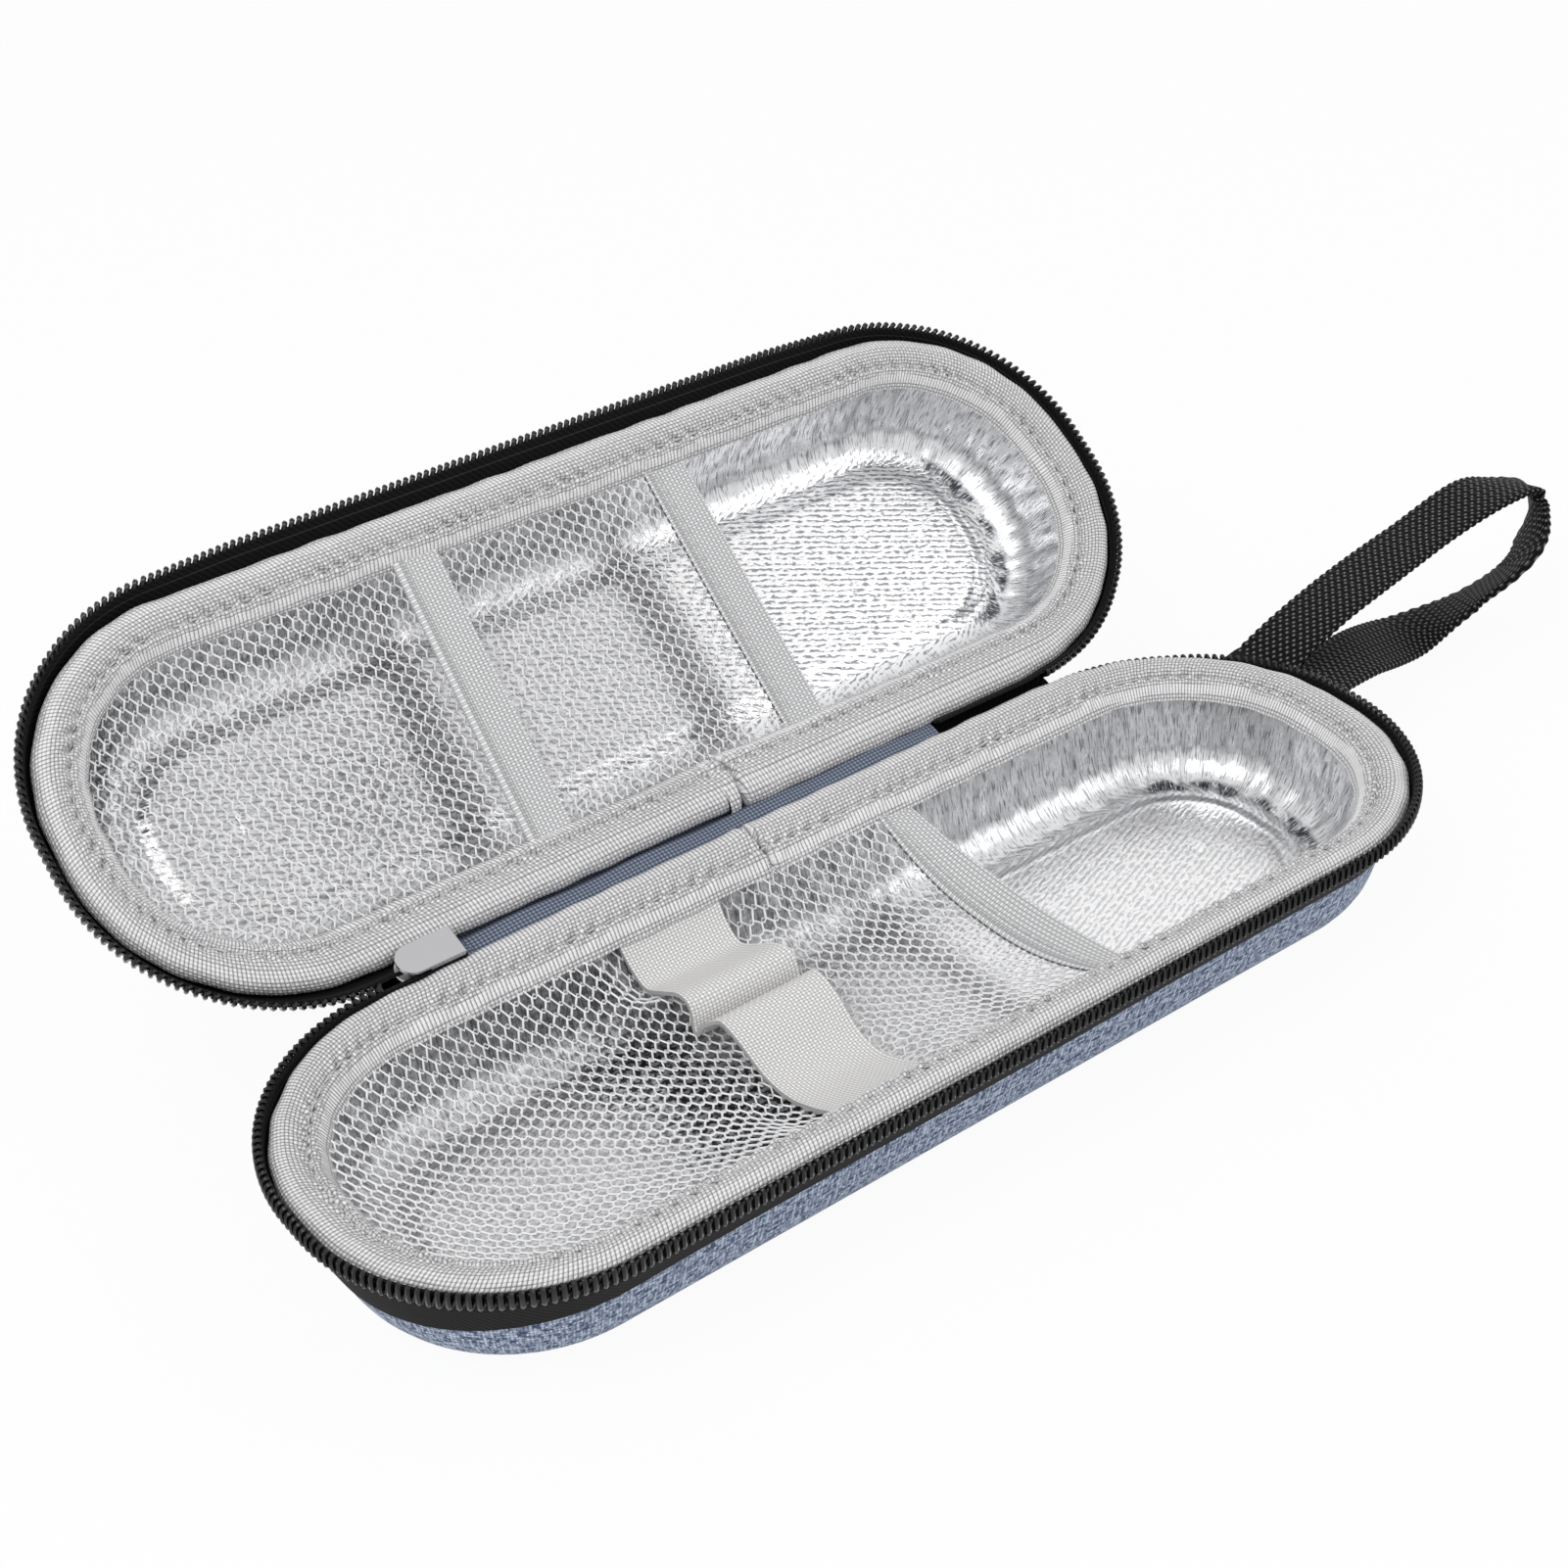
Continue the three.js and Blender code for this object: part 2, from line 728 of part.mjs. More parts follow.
// Slider: two plates with folded flanges, the wedge between them and the bridge for the pull
function sliderBody() {
  const plateAt = (z) =>
    new THREE.ExtrudeGeometry(sliderPlan(), { depth: sliderPlate, bevelEnabled: false }).translate(
      0,
      0,
      z,
    );
  const topPlate = plateAt(channelHeight / 2);
  const bottomPlate = plateAt(-channelHeight / 2 - sliderPlate);
  const flangeThickness = (sliderWidth - channelWidth) / 2;
  const flangeHeight = (channelHeight - tapeSlot) / 2 + sliderPlate;
  const flanges = [];
  for (const side of [-1, 1]) {
    for (const level of [-1, 1]) {
      flanges.push(
        new THREE.BoxGeometry(flangeLength, flangeThickness, flangeHeight).translate(
          sliderLength - flangeLength / 2,
          side * (sliderWidth / 2 - flangeThickness / 2),
          level * (tapeSlot / 2 + flangeHeight / 2),
        ),
      );
    }
  }
  const wedge = new THREE.Shape([
    new THREE.Vector2(0, 0),
    new THREE.Vector2(wedgeLength / 2, -wedgeWidth / 2),
    new THREE.Vector2(wedgeLength, 0),
    new THREE.Vector2(wedgeLength / 2, wedgeWidth / 2),
  ]);
  const wedgeHeight = channelHeight + sliderPlate;
  const wedgeBody = new THREE.ExtrudeGeometry(wedge, { depth: wedgeHeight, bevelEnabled: false })
    .translate(sliderPlate, 0, -wedgeHeight / 2);
  return join([topPlate, bottomPlate, ...flanges, wedgeBody, sliderBridge()]);
}

// Distance below the slider's middle plane where the pull's eye turns
const eyeDrop = channelHeight / 2 + sliderPlate + bridgeHole / 2;

function sliderBridge() {
  const face = channelHeight / 2 + sliderPlate;
  const outer = new THREE.Shape([
    new THREE.Vector2(-bridgeLength / 2, -face + sliderPlate / 2),
    new THREE.Vector2(-bridgeLength / 2, -face - bridgeHole / 2),
    new THREE.Vector2(-bridgeLength / 2 + bridgePost, -face - bridgeHole - bridgeBar),
    new THREE.Vector2(bridgeLength / 2 - bridgePost, -face - bridgeHole - bridgeBar),
    new THREE.Vector2(bridgeLength / 2, -face - bridgeHole / 2),
    new THREE.Vector2(bridgeLength / 2, -face + sliderPlate / 2),
  ]);
  outer.holes.push(
    new THREE.Path([
      new THREE.Vector2(-bridgeLength / 2 + bridgePost, -face),
      new THREE.Vector2(-bridgeLength / 2 + bridgePost, -face - bridgeHole),
      new THREE.Vector2(bridgeLength / 2 - bridgePost, -face - bridgeHole),
      new THREE.Vector2(bridgeLength / 2 - bridgePost, -face),
    ]),
  );
  return new THREE.ExtrudeGeometry(outer, { depth: bridgeWidth, bevelEnabled: false })
    .rotateX(Math.PI / 2)
    .translate(sliderLength / 2, bridgeWidth / 2, 0);
}

// Flat pull that hangs from its eye under the slider
function sliderPull() {
  const outline = new THREE.Shape();
  outline.moveTo(-eyeWidth / 2, eyeBar / 2);
  outline.lineTo(-eyeWidth / 2, -eyeLength - eyeBar / 2);
  outline.lineTo(-pullWidth / 2, -pullShoulder - eyeBar);
  for (let step = 0; step <= roundSteps; step++) {
    const turn = Math.PI + (Math.PI * step) / roundSteps;
    outline.lineTo(
      (pullWidth / 2) * Math.cos(turn),
      pullWidth / 2 - pullLength + (pullWidth / 2) * Math.sin(turn),
    );
  }
  outline.lineTo(pullWidth / 2, -pullShoulder - eyeBar);
  outline.lineTo(eyeWidth / 2, -eyeLength - eyeBar / 2);
  outline.lineTo(eyeWidth / 2, eyeBar / 2);
  const hole = eyeWidth / 2 - eyeSide;
  outline.holes.push(
    new THREE.Path([
      new THREE.Vector2(-hole, -eyeBar / 2),
      new THREE.Vector2(hole, -eyeBar / 2),
      new THREE.Vector2(hole, -eyeLength),
      new THREE.Vector2(-hole, -eyeLength),
    ]),
  );
  return new THREE.ExtrudeGeometry(outline, { depth: pullThickness, bevelEnabled: false })
    .translate(0, 0, -pullThickness / 2)
    .rotateX(Math.PI / 2)
    .rotateZ(Math.PI / 2);
}

// Closed zipper end, slider and pull, on the hinge line and halfway between the two rims
function zipperEnd() {
  const group = new THREE.Group();
  const chain = mesh("zipper_chain_end", chainEnd(), blackCoil);
  chain.position.x = -hingeLeftReach - endGap - chainEndLength;
  const sliderX = -hingeLeftReach - 2 * endGap - sliderLength;
  const slider = mesh("zipper_slider", sliderBody(), satinMetal);
  slider.position.x = sliderX;
  const pull = mesh("zipper_pull", sliderPull(), satinMetal);
  pull.position.set(sliderX + sliderLength / 2, 0, -eyeDrop);
  group.add(chain, slider, pull);
  group.position.set(0, rimWidth / 2 + hingeOffset, halfDepth);
  group.rotation.x = lidRaise / 2;
  return group;
}

// Sewn root of the webbing: both plies together, cut round to lie against the zipper tape
function strapRoot() {
  const seat = rimCornerRadius + tapeTopOut + tapeThickness + strapSeatGap;
  const half = strapPlyShift + webbingWidth / 2;
  const outline = new THREE.Shape();
  outline.moveTo(strapFromCorner - strapRootGap, strapAside - half);
  outline.lineTo(strapFromCorner - strapRootGap, strapAside + half);
  for (let step = 0; step <= cornerSteps; step++) {
    const aside = strapAside + half * (1 - (2 * step) / cornerSteps);
    outline.lineTo(Math.sqrt(seat ** 2 - aside ** 2), aside);
  }
  const depth = 2 * webbingThickness + strapPlyGap;
  return new THREE.ExtrudeGeometry(outline, { depth, bevelEnabled: false })
    .translate(0, 0, -strapRootTopDepth - depth);
}

// Webbing loop: flat webbing swept round a standing teardrop, drifting aside from ply to ply
function strapLoop() {
  const high = strapTopRise;
  const low = webbingThickness / 2 + strapGroundGap - halfDepth;
  const plyPitch = webbingThickness + strapPlyGap;
  const rootMiddle = -strapRootTopDepth - webbingThickness / 2;
  const count = strapOutShares.length;
  const line = strapOutShares.map((share, i) => {
    const drift = strapPlyShift * (1 - (2 * i) / (count - 1));
    const free = low + (high - low) * strapUpShares[i];
    const up = i === 0 ? rootMiddle : i === count - 1 ? rootMiddle - plyPitch : free;
    return new THREE.Vector3(strapFromCorner + strapReach * share, strapAside + drift, up);
  });
  const curve = new THREE.CatmullRomCurve3(line);
  const half = webbingWidth / 2;
  const section = [
    [-half, -webbingThickness / 2],
    [half, -webbingThickness / 2],
    [half, webbingThickness / 2],
    [-half, webbingThickness / 2],
  ];
  const rows = [];
  for (let step = 0; step <= strapSteps; step++) {
    const place = curve.getPointAt(step / strapSteps);
    const ahead = curve.getTangentAt(step / strapSteps).setY(0).normalize();
    rows.push(
      section.map(
        ([aside, up]) =>
          new THREE.Vector3(place.x - up * ahead.z, place.y + aside, place.z + up * ahead.x),
      ),
    );
  }
  return capped(rows, section);
}

// Root and loop of the webbing at the back corner of the base's right end
function wristStrap() {
  const group = new THREE.Group();
  group.add(
    mesh("strap_root", strapRoot(), blackTape),
    mesh("wrist_strap", strapLoop(), blackTape),
  );
  group.rotation.z = strapHeading;
  group.position.set(halfStraight, halfEnd, halfDepth);
  return group;
}

const caseModel = new THREE.Group();

const base = baseHalf();
base.position.z = halfDepth;
caseModel.add(base);

// The lid is the base's mirror image across the hinge line, raised about it
const lid = lidHalf();
lid.scale.y = -1;
lid.position.y = rimWidth / 2 + hingeOffset;
const lidOnHinge = new THREE.Group();
lidOnHinge.add(lid);
lidOnHinge.position.set(0, rimWidth / 2 + hingeOffset, halfDepth);
lidOnHinge.rotation.x = lidRaise;
caseModel.add(lidOnHinge);

caseModel.add(zipperEnd(), wristStrap());

export default caseModel;
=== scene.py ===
# %% [markdown]
# # An insulin cooling case in Blender
# The case is two moulded foam trays, joined by a cloth hinge along one long side and closed by a
# zipper round the other three. The CAD model gives its sizes and its joints, and this lesson
# dresses it. A piece of one half is made in that half's own frame, in millimetres, with its rim at
# height 0, then moved to its half. The hinge and the strap are made in the whole model's frame.

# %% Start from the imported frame
import math
import bpy
import numpy as np
from mathutils import Matrix, Vector


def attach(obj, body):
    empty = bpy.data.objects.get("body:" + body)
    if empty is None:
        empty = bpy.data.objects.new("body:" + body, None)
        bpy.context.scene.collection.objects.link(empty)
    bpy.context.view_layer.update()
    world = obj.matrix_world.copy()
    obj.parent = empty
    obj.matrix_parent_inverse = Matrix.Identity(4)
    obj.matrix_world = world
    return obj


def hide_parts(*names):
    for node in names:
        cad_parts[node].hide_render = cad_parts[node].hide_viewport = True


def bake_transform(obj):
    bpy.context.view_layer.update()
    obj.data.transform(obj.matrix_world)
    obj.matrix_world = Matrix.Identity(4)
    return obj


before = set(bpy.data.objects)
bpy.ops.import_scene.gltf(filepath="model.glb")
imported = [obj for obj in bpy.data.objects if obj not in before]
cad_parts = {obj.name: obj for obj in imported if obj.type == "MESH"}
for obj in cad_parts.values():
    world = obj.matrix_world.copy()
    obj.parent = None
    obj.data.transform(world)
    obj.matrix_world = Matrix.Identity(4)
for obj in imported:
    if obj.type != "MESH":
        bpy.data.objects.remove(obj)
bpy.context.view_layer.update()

# %% [markdown]
# ## The sizes that everything shares
# The rim is a rectangle with corners so round that the ends are nearly half circles. Walls lean in
# by the draft angle that lets a moulded tray leave its tool. All lengths here are in millimetres.

# %% Shared sizes
MM = 0.001
RIM_RADIUS = 32.0
HALF_STRAIGHT = 68.0  # from the middle to the start of a corner, along the long side
HALF_END = 2.1  # the same along the short end
RIM_Y = RIM_RADIUS + HALF_END
HALF_DEPTH = 24.0
HINGE_Y = 36.9
DRAFT = math.radians(13)
LID_RAISE = math.radians(35.6)
COVER_INSET = 0.8
FILLET_INSET, FILLET_DEPTH, FILLET_RADIUS = 15.886, 12.0, 12.0
QUARTER = RIM_RADIUS * math.pi / 2


def wall_inset(layer, depth):
    """How far inside the rim a layer of the wall is at a depth"""
    return COVER_INSET + layer / math.cos(DRAFT) + depth * math.tan(DRAFT)


print("rim:", 2 * (HALF_STRAIGHT + RIM_RADIUS), "by", round(2 * RIM_Y, 1), "mm")

# %% [markdown]
# ## Walking round the rim
# Every strip on this case follows the rim, so one function answers where the rim is at a distance
# along it. It starts in the middle of the back and goes clockwise, seen from above. Interpolating
# between ten stops is short and handles straight runs and corners alike.

# %% Places along the rim
legs = [0, HALF_STRAIGHT, QUARTER, 2 * HALF_END, QUARTER, 2 * HALF_STRAIGHT]
legs += [QUARTER, 2 * HALF_END, QUARTER, HALF_STRAIGHT]
RIM_STOPS = np.cumsum(legs)
RIM_TOTAL = float(RIM_STOPS[-1])
SPINE_X = HALF_STRAIGHT * np.array([0, 1, 1, 1, 1, -1, -1, -1, -1, 0])
SPINE_Y = HALF_END * np.array([1, 1, 1, -1, -1, -1, -1, 1, 1, 1])
FACING = np.radians([90, 90, 0, 0, -90, -90, -180, -180, -270, -270])


def rim_place(along, inset):
    """x and y at distances along the rim, moved inwards"""
    along = np.where(along == RIM_TOTAL, along, np.mod(along, RIM_TOTAL))
    facing = np.interp(along, RIM_STOPS, FACING)
    reach = RIM_RADIUS - inset
    lean = np.clip(reach, 0, None)
    narrowing = np.clip(1 + reach / HALF_END, 0, 1)
    x = np.interp(along, RIM_STOPS, SPINE_X) + lean * np.cos(facing)
    y = np.interp(along, RIM_STOPS, SPINE_Y) * narrowing + lean * np.sin(facing)
    return x, y


print("rim length:", round(RIM_TOTAL, 1), "mm")

# %% [markdown]
# ## Paths
# A cross section is easiest to give as a few points. A curve object could join them, but the points
# in between are needed as numbers here, so one function runs a smooth line through the given ones
# and spaces the new ones evenly.


# %% Helpers for paths
def walk(points):
    """The distance walked to each of a row of points"""
    steps = np.linalg.norm(np.diff(points, axis=0), axis=1)
    return np.concatenate([[0], np.cumsum(steps)])


def unit(vectors):
    """The same directions, each of length 1"""
    return vectors / np.linalg.norm(vectors, axis=1, keepdims=True)


def smooth_path(points, count):
    """Evenly spaced points on a smooth line through the given ones, and the distance to each"""
    p = np.array(points, float)
    ends = np.vstack([2 * p[0] - p[1], p, 2 * p[-1] - p[-2]])
    t = np.linspace(0, 1, 24, endpoint=False)[:, None]
    fine = [
        0.5 * (2 * b + (c - a) * t + (2 * a - 5 * b + 4 * c - d) * t**2
               + (3 * b - a - 3 * c + d) * t**3)
        for a, b, c, d in zip(ends, ends[1:], ends[2:], ends[3:])
    ]
    fine = np.vstack(fine + [p[-1:]])
    walked = walk(fine)
    at = np.linspace(0, walked[-1], count)
    return np.stack([np.interp(at, walked, column) for column in fine.T], 1), at


# %% [markdown]
# ## Laying cloth
# Cloth pieces start as a grid, like fabric on the roll. Its crossing points are then laid on the
# piece's surface, and its UV map keeps the flat cloth's own millimetres, so that a weave follows
# the piece round corners and over rolls. A simulation could drape the cloth, but on this case
# nearly all of it is glued or sewn to a known surface.


# %% Helpers for laid cloth
def read(items, key, width=1, kind=float):
    """One value of every item of a mesh, as an array with a row for each"""
    values = np.empty(len(items) * width, kind)
    items.foreach_get(key, values)
    return values.reshape(-1, width) if width > 1 else values


def rows_of(*coordinates):
    """Rows and columns of points; a coordinate may change along only one of the two"""
    return np.stack(np.broadcast_arrays(*coordinates), 2)


def lay_cloth(name, places, cloth):
    """A grid laid on places[row, column] with its flat cloth[row, column], both in millimetres"""
    rows, columns = places.shape[:2]
    bpy.ops.object.select_all(action="DESELECT")
    bpy.ops.mesh.primitive_grid_add(x_subdivisions=columns - 1, y_subdivisions=rows - 1, size=1)
    piece = bpy.context.object
    piece.name = piece.data.name = name
    piece.data.vertices.foreach_set("co", (places * MM).astype(np.float32).ravel())
    corners = read(piece.data.loops, "vertex_index", kind=int)
    flat = (cloth.reshape(-1, 2)[corners] * MM).astype(np.float32)
    piece.data.uv_layers[0].data.foreach_set("uv", flat.ravel())
    piece.data.update()
    return piece


def round_the_rim(name, section, spacing, relief):
    """Cloth laid round the rim; section is rows of (inset, depth), relief moves it inwards"""
    section = np.array(section, float)
    walked = walk(section)[:, None]
    along = np.linspace(0, RIM_TOTAL, int(round(RIM_TOTAL / spacing)) + 1)[None, :]
    inwards = relief(2 * math.pi * along / RIM_TOTAL, walked)
    x, y = rim_place(along, section[:, :1] + inwards)
    return lay_cloth(name, rows_of(x, y, -section[:, 1:]), rows_of(along, walked))


# %% [markdown]
# ## Closing a piece up
# Where a grid's edges meet, its doubled points are merged, so that cloth and light run on without a
# seam. Real cloth has a thickness, and Solidify gives it one after the faces have been turned
# outwards, because on a closed shell that turning would spoil the inner wall.


# %% Helper for closed pieces
def close_up(piece, thickness=0.0, offset=-1.0):
    """Merges doubles, turns faces outwards, then gives the sheet its thickness"""
    bpy.context.view_layer.objects.active = piece
    bpy.ops.object.mode_set(mode="EDIT")
    bpy.ops.mesh.select_all(action="SELECT")
    bpy.ops.mesh.remove_doubles(threshold=0.00001)
    bpy.ops.mesh.normals_make_consistent(inside=False)
    bpy.ops.object.mode_set(mode="OBJECT")
    if thickness:
        wall = piece.modifiers.new("thickness", "SOLIDIFY")
        wall.thickness = thickness * MM
        wall.offset = offset
        bpy.ops.object.modifier_apply(modifier=wall.name)
    bpy.ops.object.shade_smooth_by_angle(angle=math.radians(50))
    return piece


# %% [markdown]
# ## Two halves from one
# The lid is the base's mirror image, raised about the hinge line. Mirroring turns faces inside out,
# so they are flipped back. The finished object stays at the origin, with its place in its mesh.

# %% Move a piece to its half
to_base = Matrix.Translation((0, 0, HALF_DEPTH * MM))
to_lid = (
    Matrix.Translation((0, HINGE_Y * MM, HALF_DEPTH * MM))
    @ Matrix.Rotation(LID_RAISE, 4, "X")
    @ Matrix.Translation((0, HINGE_Y * MM, 0))
    @ Matrix.Diagonal((1, -1, 1, 1))
)


def dress(piece, finish):
    """Gives a piece its one material"""
    piece.data.materials.clear()
    piece.data.materials.append(finish)


def settle(piece, half, finish, node=None):
    """Puts a piece on its half, with its material, in place of its CAD node"""
    piece.data.transform(to_base if half == "base" else to_lid)
    if half == "lid":
        piece.data.flip_normals()
    dress(piece, finish)
    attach(piece, half)
    if node:
        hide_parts(node)
    print(piece.name, "has", len(piece.data.polygons), "faces")


def copy_of(piece, name):
    """A copy with its own mesh"""
    twin = piece.copy()
    twin.data = piece.data.copy()
    twin.name = twin.data.name = name
    bpy.context.scene.collection.objects.link(twin)
    return twin


# %% [markdown]
# ## Node helpers
# A material is a small graph. It could be clicked together, but a recipe in code can be read from
# top to bottom. These helpers add a node with its values and links in one line.


# %% Helpers for nodes
def fill(tree, node, values):
    """Sets a node's sockets; a value may be another node's output"""
    for socket, value in values.items():
        if isinstance(value, bpy.types.NodeSocket):
            tree.links.new(value, node.inputs[socket])
        else:
            node.inputs[socket].default_value = value


def add(tree, kind, values=None, **settings):
    """A node with its settings and its sockets' values"""
    new = tree.nodes.new(kind)
    for key, value in settings.items():
        setattr(new, key, value)
    fill(tree, new, values or {})
    return new


def calc(tree, operation, first, second=0.0, third=0.0):
    """One step of arithmetic"""
    values = {0: first, 1: second, 2: third}
    return add(tree, "ShaderNodeMath", values, operation=operation).outputs[0]


def blend_colours(tree, share, first, second):
    """A colour between two, by a share"""
    values = {0: share, 6: first, 7: second}
    return add(tree, "ShaderNodeMix", values, data_type="RGBA").outputs[2]


def paint(red, green, blue):
    """A colour as screens count it, 0 to 255, in the linear values that shaders use"""
    def linear(part):
        part /= 255
        return part / 12.92 if part < 0.04045 else ((part + 0.055) / 1.055) ** 2.4

    return (linear(red), linear(green), linear(blue), 1.0)


def new_finish(name):
    """A material, its node tree and its shader"""
    finish = bpy.data.materials.new(name)
    finish.use_nodes = True
    return finish, finish.node_tree, finish.node_tree.nodes["Principled BSDF"]


# %% [markdown]
# ## Cloth patterns
# Most finishes on this case are woven. A weave is two sine waves, one for each thread: where they
# multiply, each crossing becomes a small pillow, and the sign of the product says which thread is
# on top. The waves read the cloth's own millimetres, so thread counts can be taken from the real
# cloth. Noise stretched along a thread gives the uneven tone of its yarn.


# %% Helpers for patterns
def cloth_place(tree):
    """The cloth's own millimetres: along the piece, and across it"""
    here = add(tree, "ShaderNodeSeparateXYZ", {0: add(tree, "ShaderNodeUVMap").outputs[0]})
    return [calc(tree, "MULTIPLY", here.outputs[i], 1000.0) for i in range(2)]


def weave(tree, first_thread, second_thread, place=None):
    """A plain weave: a pillow at each crossing, and how much the first thread lies on top"""
    u, v = place or cloth_place(tree)
    first = calc(tree, "SINE", calc(tree, "MULTIPLY", u, math.pi / first_thread))
    second = calc(tree, "SINE", calc(tree, "MULTIPLY", v, math.pi / second_thread))
    crossing = calc(tree, "MULTIPLY", first, second)
    pillow = calc(tree, "POWER", calc(tree, "ABSOLUTE", crossing), 0.5)
    return pillow, calc(tree, "MULTIPLY_ADD", crossing, 0.5, 0.5)


def one_thread_lower(tree, pillow, top, least):
    """Pillows of which every other one rises only to a share of its height"""
    return calc(tree, "MULTIPLY", pillow, calc(tree, "MULTIPLY_ADD", top, 1 - least, least))


def stretched_place(tree, size_u, size_v, turn):
    """The cloth's place, counted in sizes of a pattern in millimetres, and turned"""
    return add(tree, "ShaderNodeMapping", {
        "Vector": add(tree, "ShaderNodeUVMap").outputs[0], "Rotation": (0, 0, turn),
        "Scale": (size_u * MM, size_v * MM, 1),
    }, vector_type="TEXTURE").outputs[0]


def patches(tree, size_u, size_v, detail=2.0, turn=0.0):
    """Soft random patches, stretched in the cloth's own directions; sizes in millimetres"""
    place = stretched_place(tree, size_u, size_v, turn)
    noise = add(tree, "ShaderNodeTexNoise", {"Vector": place, "Scale": 1.0, "Detail": detail})
    return noise.outputs[0]


def ramp(tree, value, low, high):
    """0 below the low value, 1 above the high one"""
    return add(tree, "ShaderNodeMapRange", {0: value, 1: low, 2: high}).outputs[0]


def window(tree, value, middle, half):
    """1 within half a width of a middle value, 0 outside, with soft ends"""
    away = calc(tree, "ABSOLUTE", calc(tree, "SUBTRACT", value, middle))
    return ramp(tree, away, half + 0.15, half - 0.15)


def emboss(tree, shader, height, depth, strength=1.0):
    """Turns a height into relief; depth in millimetres"""
    relief = add(tree, "ShaderNodeBump", {
        "Strength": strength, "Distance": depth * MM, "Height": height,
    })
    tree.links.new(relief.outputs[0], shader.inputs["Normal"])


# %% [markdown]
# ## The binding's cloth
# The strip over each rim is a grey cloth with small pillows, which turn to long ribs on the roll's
# face and more so on the flat strip inside. A picture of cloth would blur from near, so both
# patterns are nodes, and windows over the distance across the cloth choose between them. The ribs
# lean to the side as far as the lean reaches, as they do where cloth is pulled over a roll.

# %% Binding cloth
RIB = 0.7
LEAN, LEAN_REACH = 0.3, 9.5
binding, tree, shader = new_finish("grey ribbed binding")
u, v = cloth_place(tree)
u = calc(tree, "MULTIPLY_ADD", calc(tree, "MINIMUM", v, LEAN_REACH), LEAN, u)
pillow, top = weave(tree, RIB, 0.62, (u, v))
pillow = one_thread_lower(tree, pillow, top, 0.5)
rib = calc(tree, "ABSOLUTE", calc(tree, "SINE", calc(tree, "MULTIPLY", u, math.pi / RIB)))
rib = calc(tree, "POWER", rib, 0.6)
wander = calc(tree, "MULTIPLY_ADD", patches(tree, 12, 400), 2.4, -1.2)
v = calc(tree, "ADD", v, wander)
roll_face, inner_strip = window(tree, v, 6.4, 0.8), window(tree, v, 13.9, 0.8)
on_rib = calc(tree, "MULTIPLY_ADD", inner_strip, 0.65, calc(tree, "MULTIPLY", roll_face, 0.3))
raised = add(tree, "ShaderNodeMix", {0: on_rib, 2: pillow, 3: rib}).outputs[0]
tone = calc(tree, "MULTIPLY_ADD", patches(tree, 5, 3), 0.3, 0.86)
# Painted shade: the low parts between the pillows and ribs are darker; the tone also varies at
# random.
share = calc(tree, "MULTIPLY", ramp(tree, raised, 0.12, 0.72), tone)
colour = blend_colours(tree, share, paint(132, 131, 134), paint(255, 254, 255))
fill(tree, shader, {"Base Color": colour, "Roughness": 0.6})
emboss(tree, shader, raised, 0.24, 0.9)
print(binding.name, "takes", len(tree.nodes), "nodes")

# %% [markdown]
# ## The blue cloths
# The cover is heathered: pale and dark yarns in one weave. Mixing two colours by one noise would
# look like stains, so there are two stretched noises, one along each thread, and the thread that
# lies on top chooses. The hinge is a darker and plainer cloth of the same blue.

# %% Cover and hinge cloth
denim, tree, shader = new_finish("heathered blue cloth")
pillow, top = weave(tree, 0.6, 0.6)
warp, weft = patches(tree, 0.6, 1.9), patches(tree, 1.9, 0.6)
weft_share = calc(tree, "MULTIPLY", weft, calc(tree, "SUBTRACT", 1.0, top))
yarn = calc(tree, "MULTIPLY_ADD", warp, top, weft_share)
colour = blend_colours(tree, ramp(tree, yarn, 0.4, 0.6), paint(34, 57, 100), paint(216, 230, 250))
# Painted shade: the low parts between the threads are darker.
colour = blend_colours(tree, calc(tree, "POWER", pillow, 0.6), paint(40, 58, 96), colour)
fill(tree, shader, {"Base Color": colour, "Roughness": 0.85, "Sheen Weight": 0.15})
emboss(tree, shader, pillow, 0.1, 0.6)
print(denim.name, "takes", len(tree.nodes), "nodes")

hinge_blue, tree, shader = new_finish("dark blue hinge cloth")
pillow = weave(tree, 0.7, 0.6)[0]
# Painted shade: the low parts between the threads are darker.
share = calc(tree, "POWER", pillow, 2.0)
colour = blend_colours(tree, share, paint(46, 54, 72), paint(150, 161, 182))
fill(tree, shader, {"Base Color": colour, "Roughness": 0.75})
emboss(tree, shader, pillow, 0.14, 0.8)
print(hinge_blue.name, "takes", len(tree.nodes), "nodes")

# %% [markdown]
# ## Black tape, coil and webbing
# The zipper tape is a matt twill with one grey line of stitches, the coil is glossy moulded nylon,
# and the wrist strap is a tight black webbing on which small pale dashes show where its threads
# catch the light. Black never shows as black alone: what tells the three apart is their shine.

# %% Black finishes
TWILL = 5.2
black_tape, tree, shader = new_finish("black zipper tape")
u, v = cloth_place(tree)
twill = calc(tree, "SINE", calc(tree, "MULTIPLY", calc(tree, "ADD", u, v), TWILL))
twill = calc(tree, "MULTIPLY_ADD", twill, 0.5, 0.5)
# Painted shade: the twill's grooves are darker than its ridges.
colour = blend_colours(tree, twill, paint(12, 12, 13), paint(26, 26, 28))
colour = blend_colours(tree, window(tree, v, 1.6, 0.0), colour, paint(92, 92, 95))
fill(tree, shader, {"Base Color": colour, "Roughness": 0.8, "Specular IOR Level": 0.15})
emboss(tree, shader, twill, 0.08, 0.5)
print(black_tape.name, "takes", len(tree.nodes), "nodes")

coil_black, tree, shader = new_finish("black nylon coil")
nylon = {"Base Color": paint(14, 14, 15), "Roughness": 0.2, "Specular IOR Level": 0.4}
fill(tree, shader, nylon)

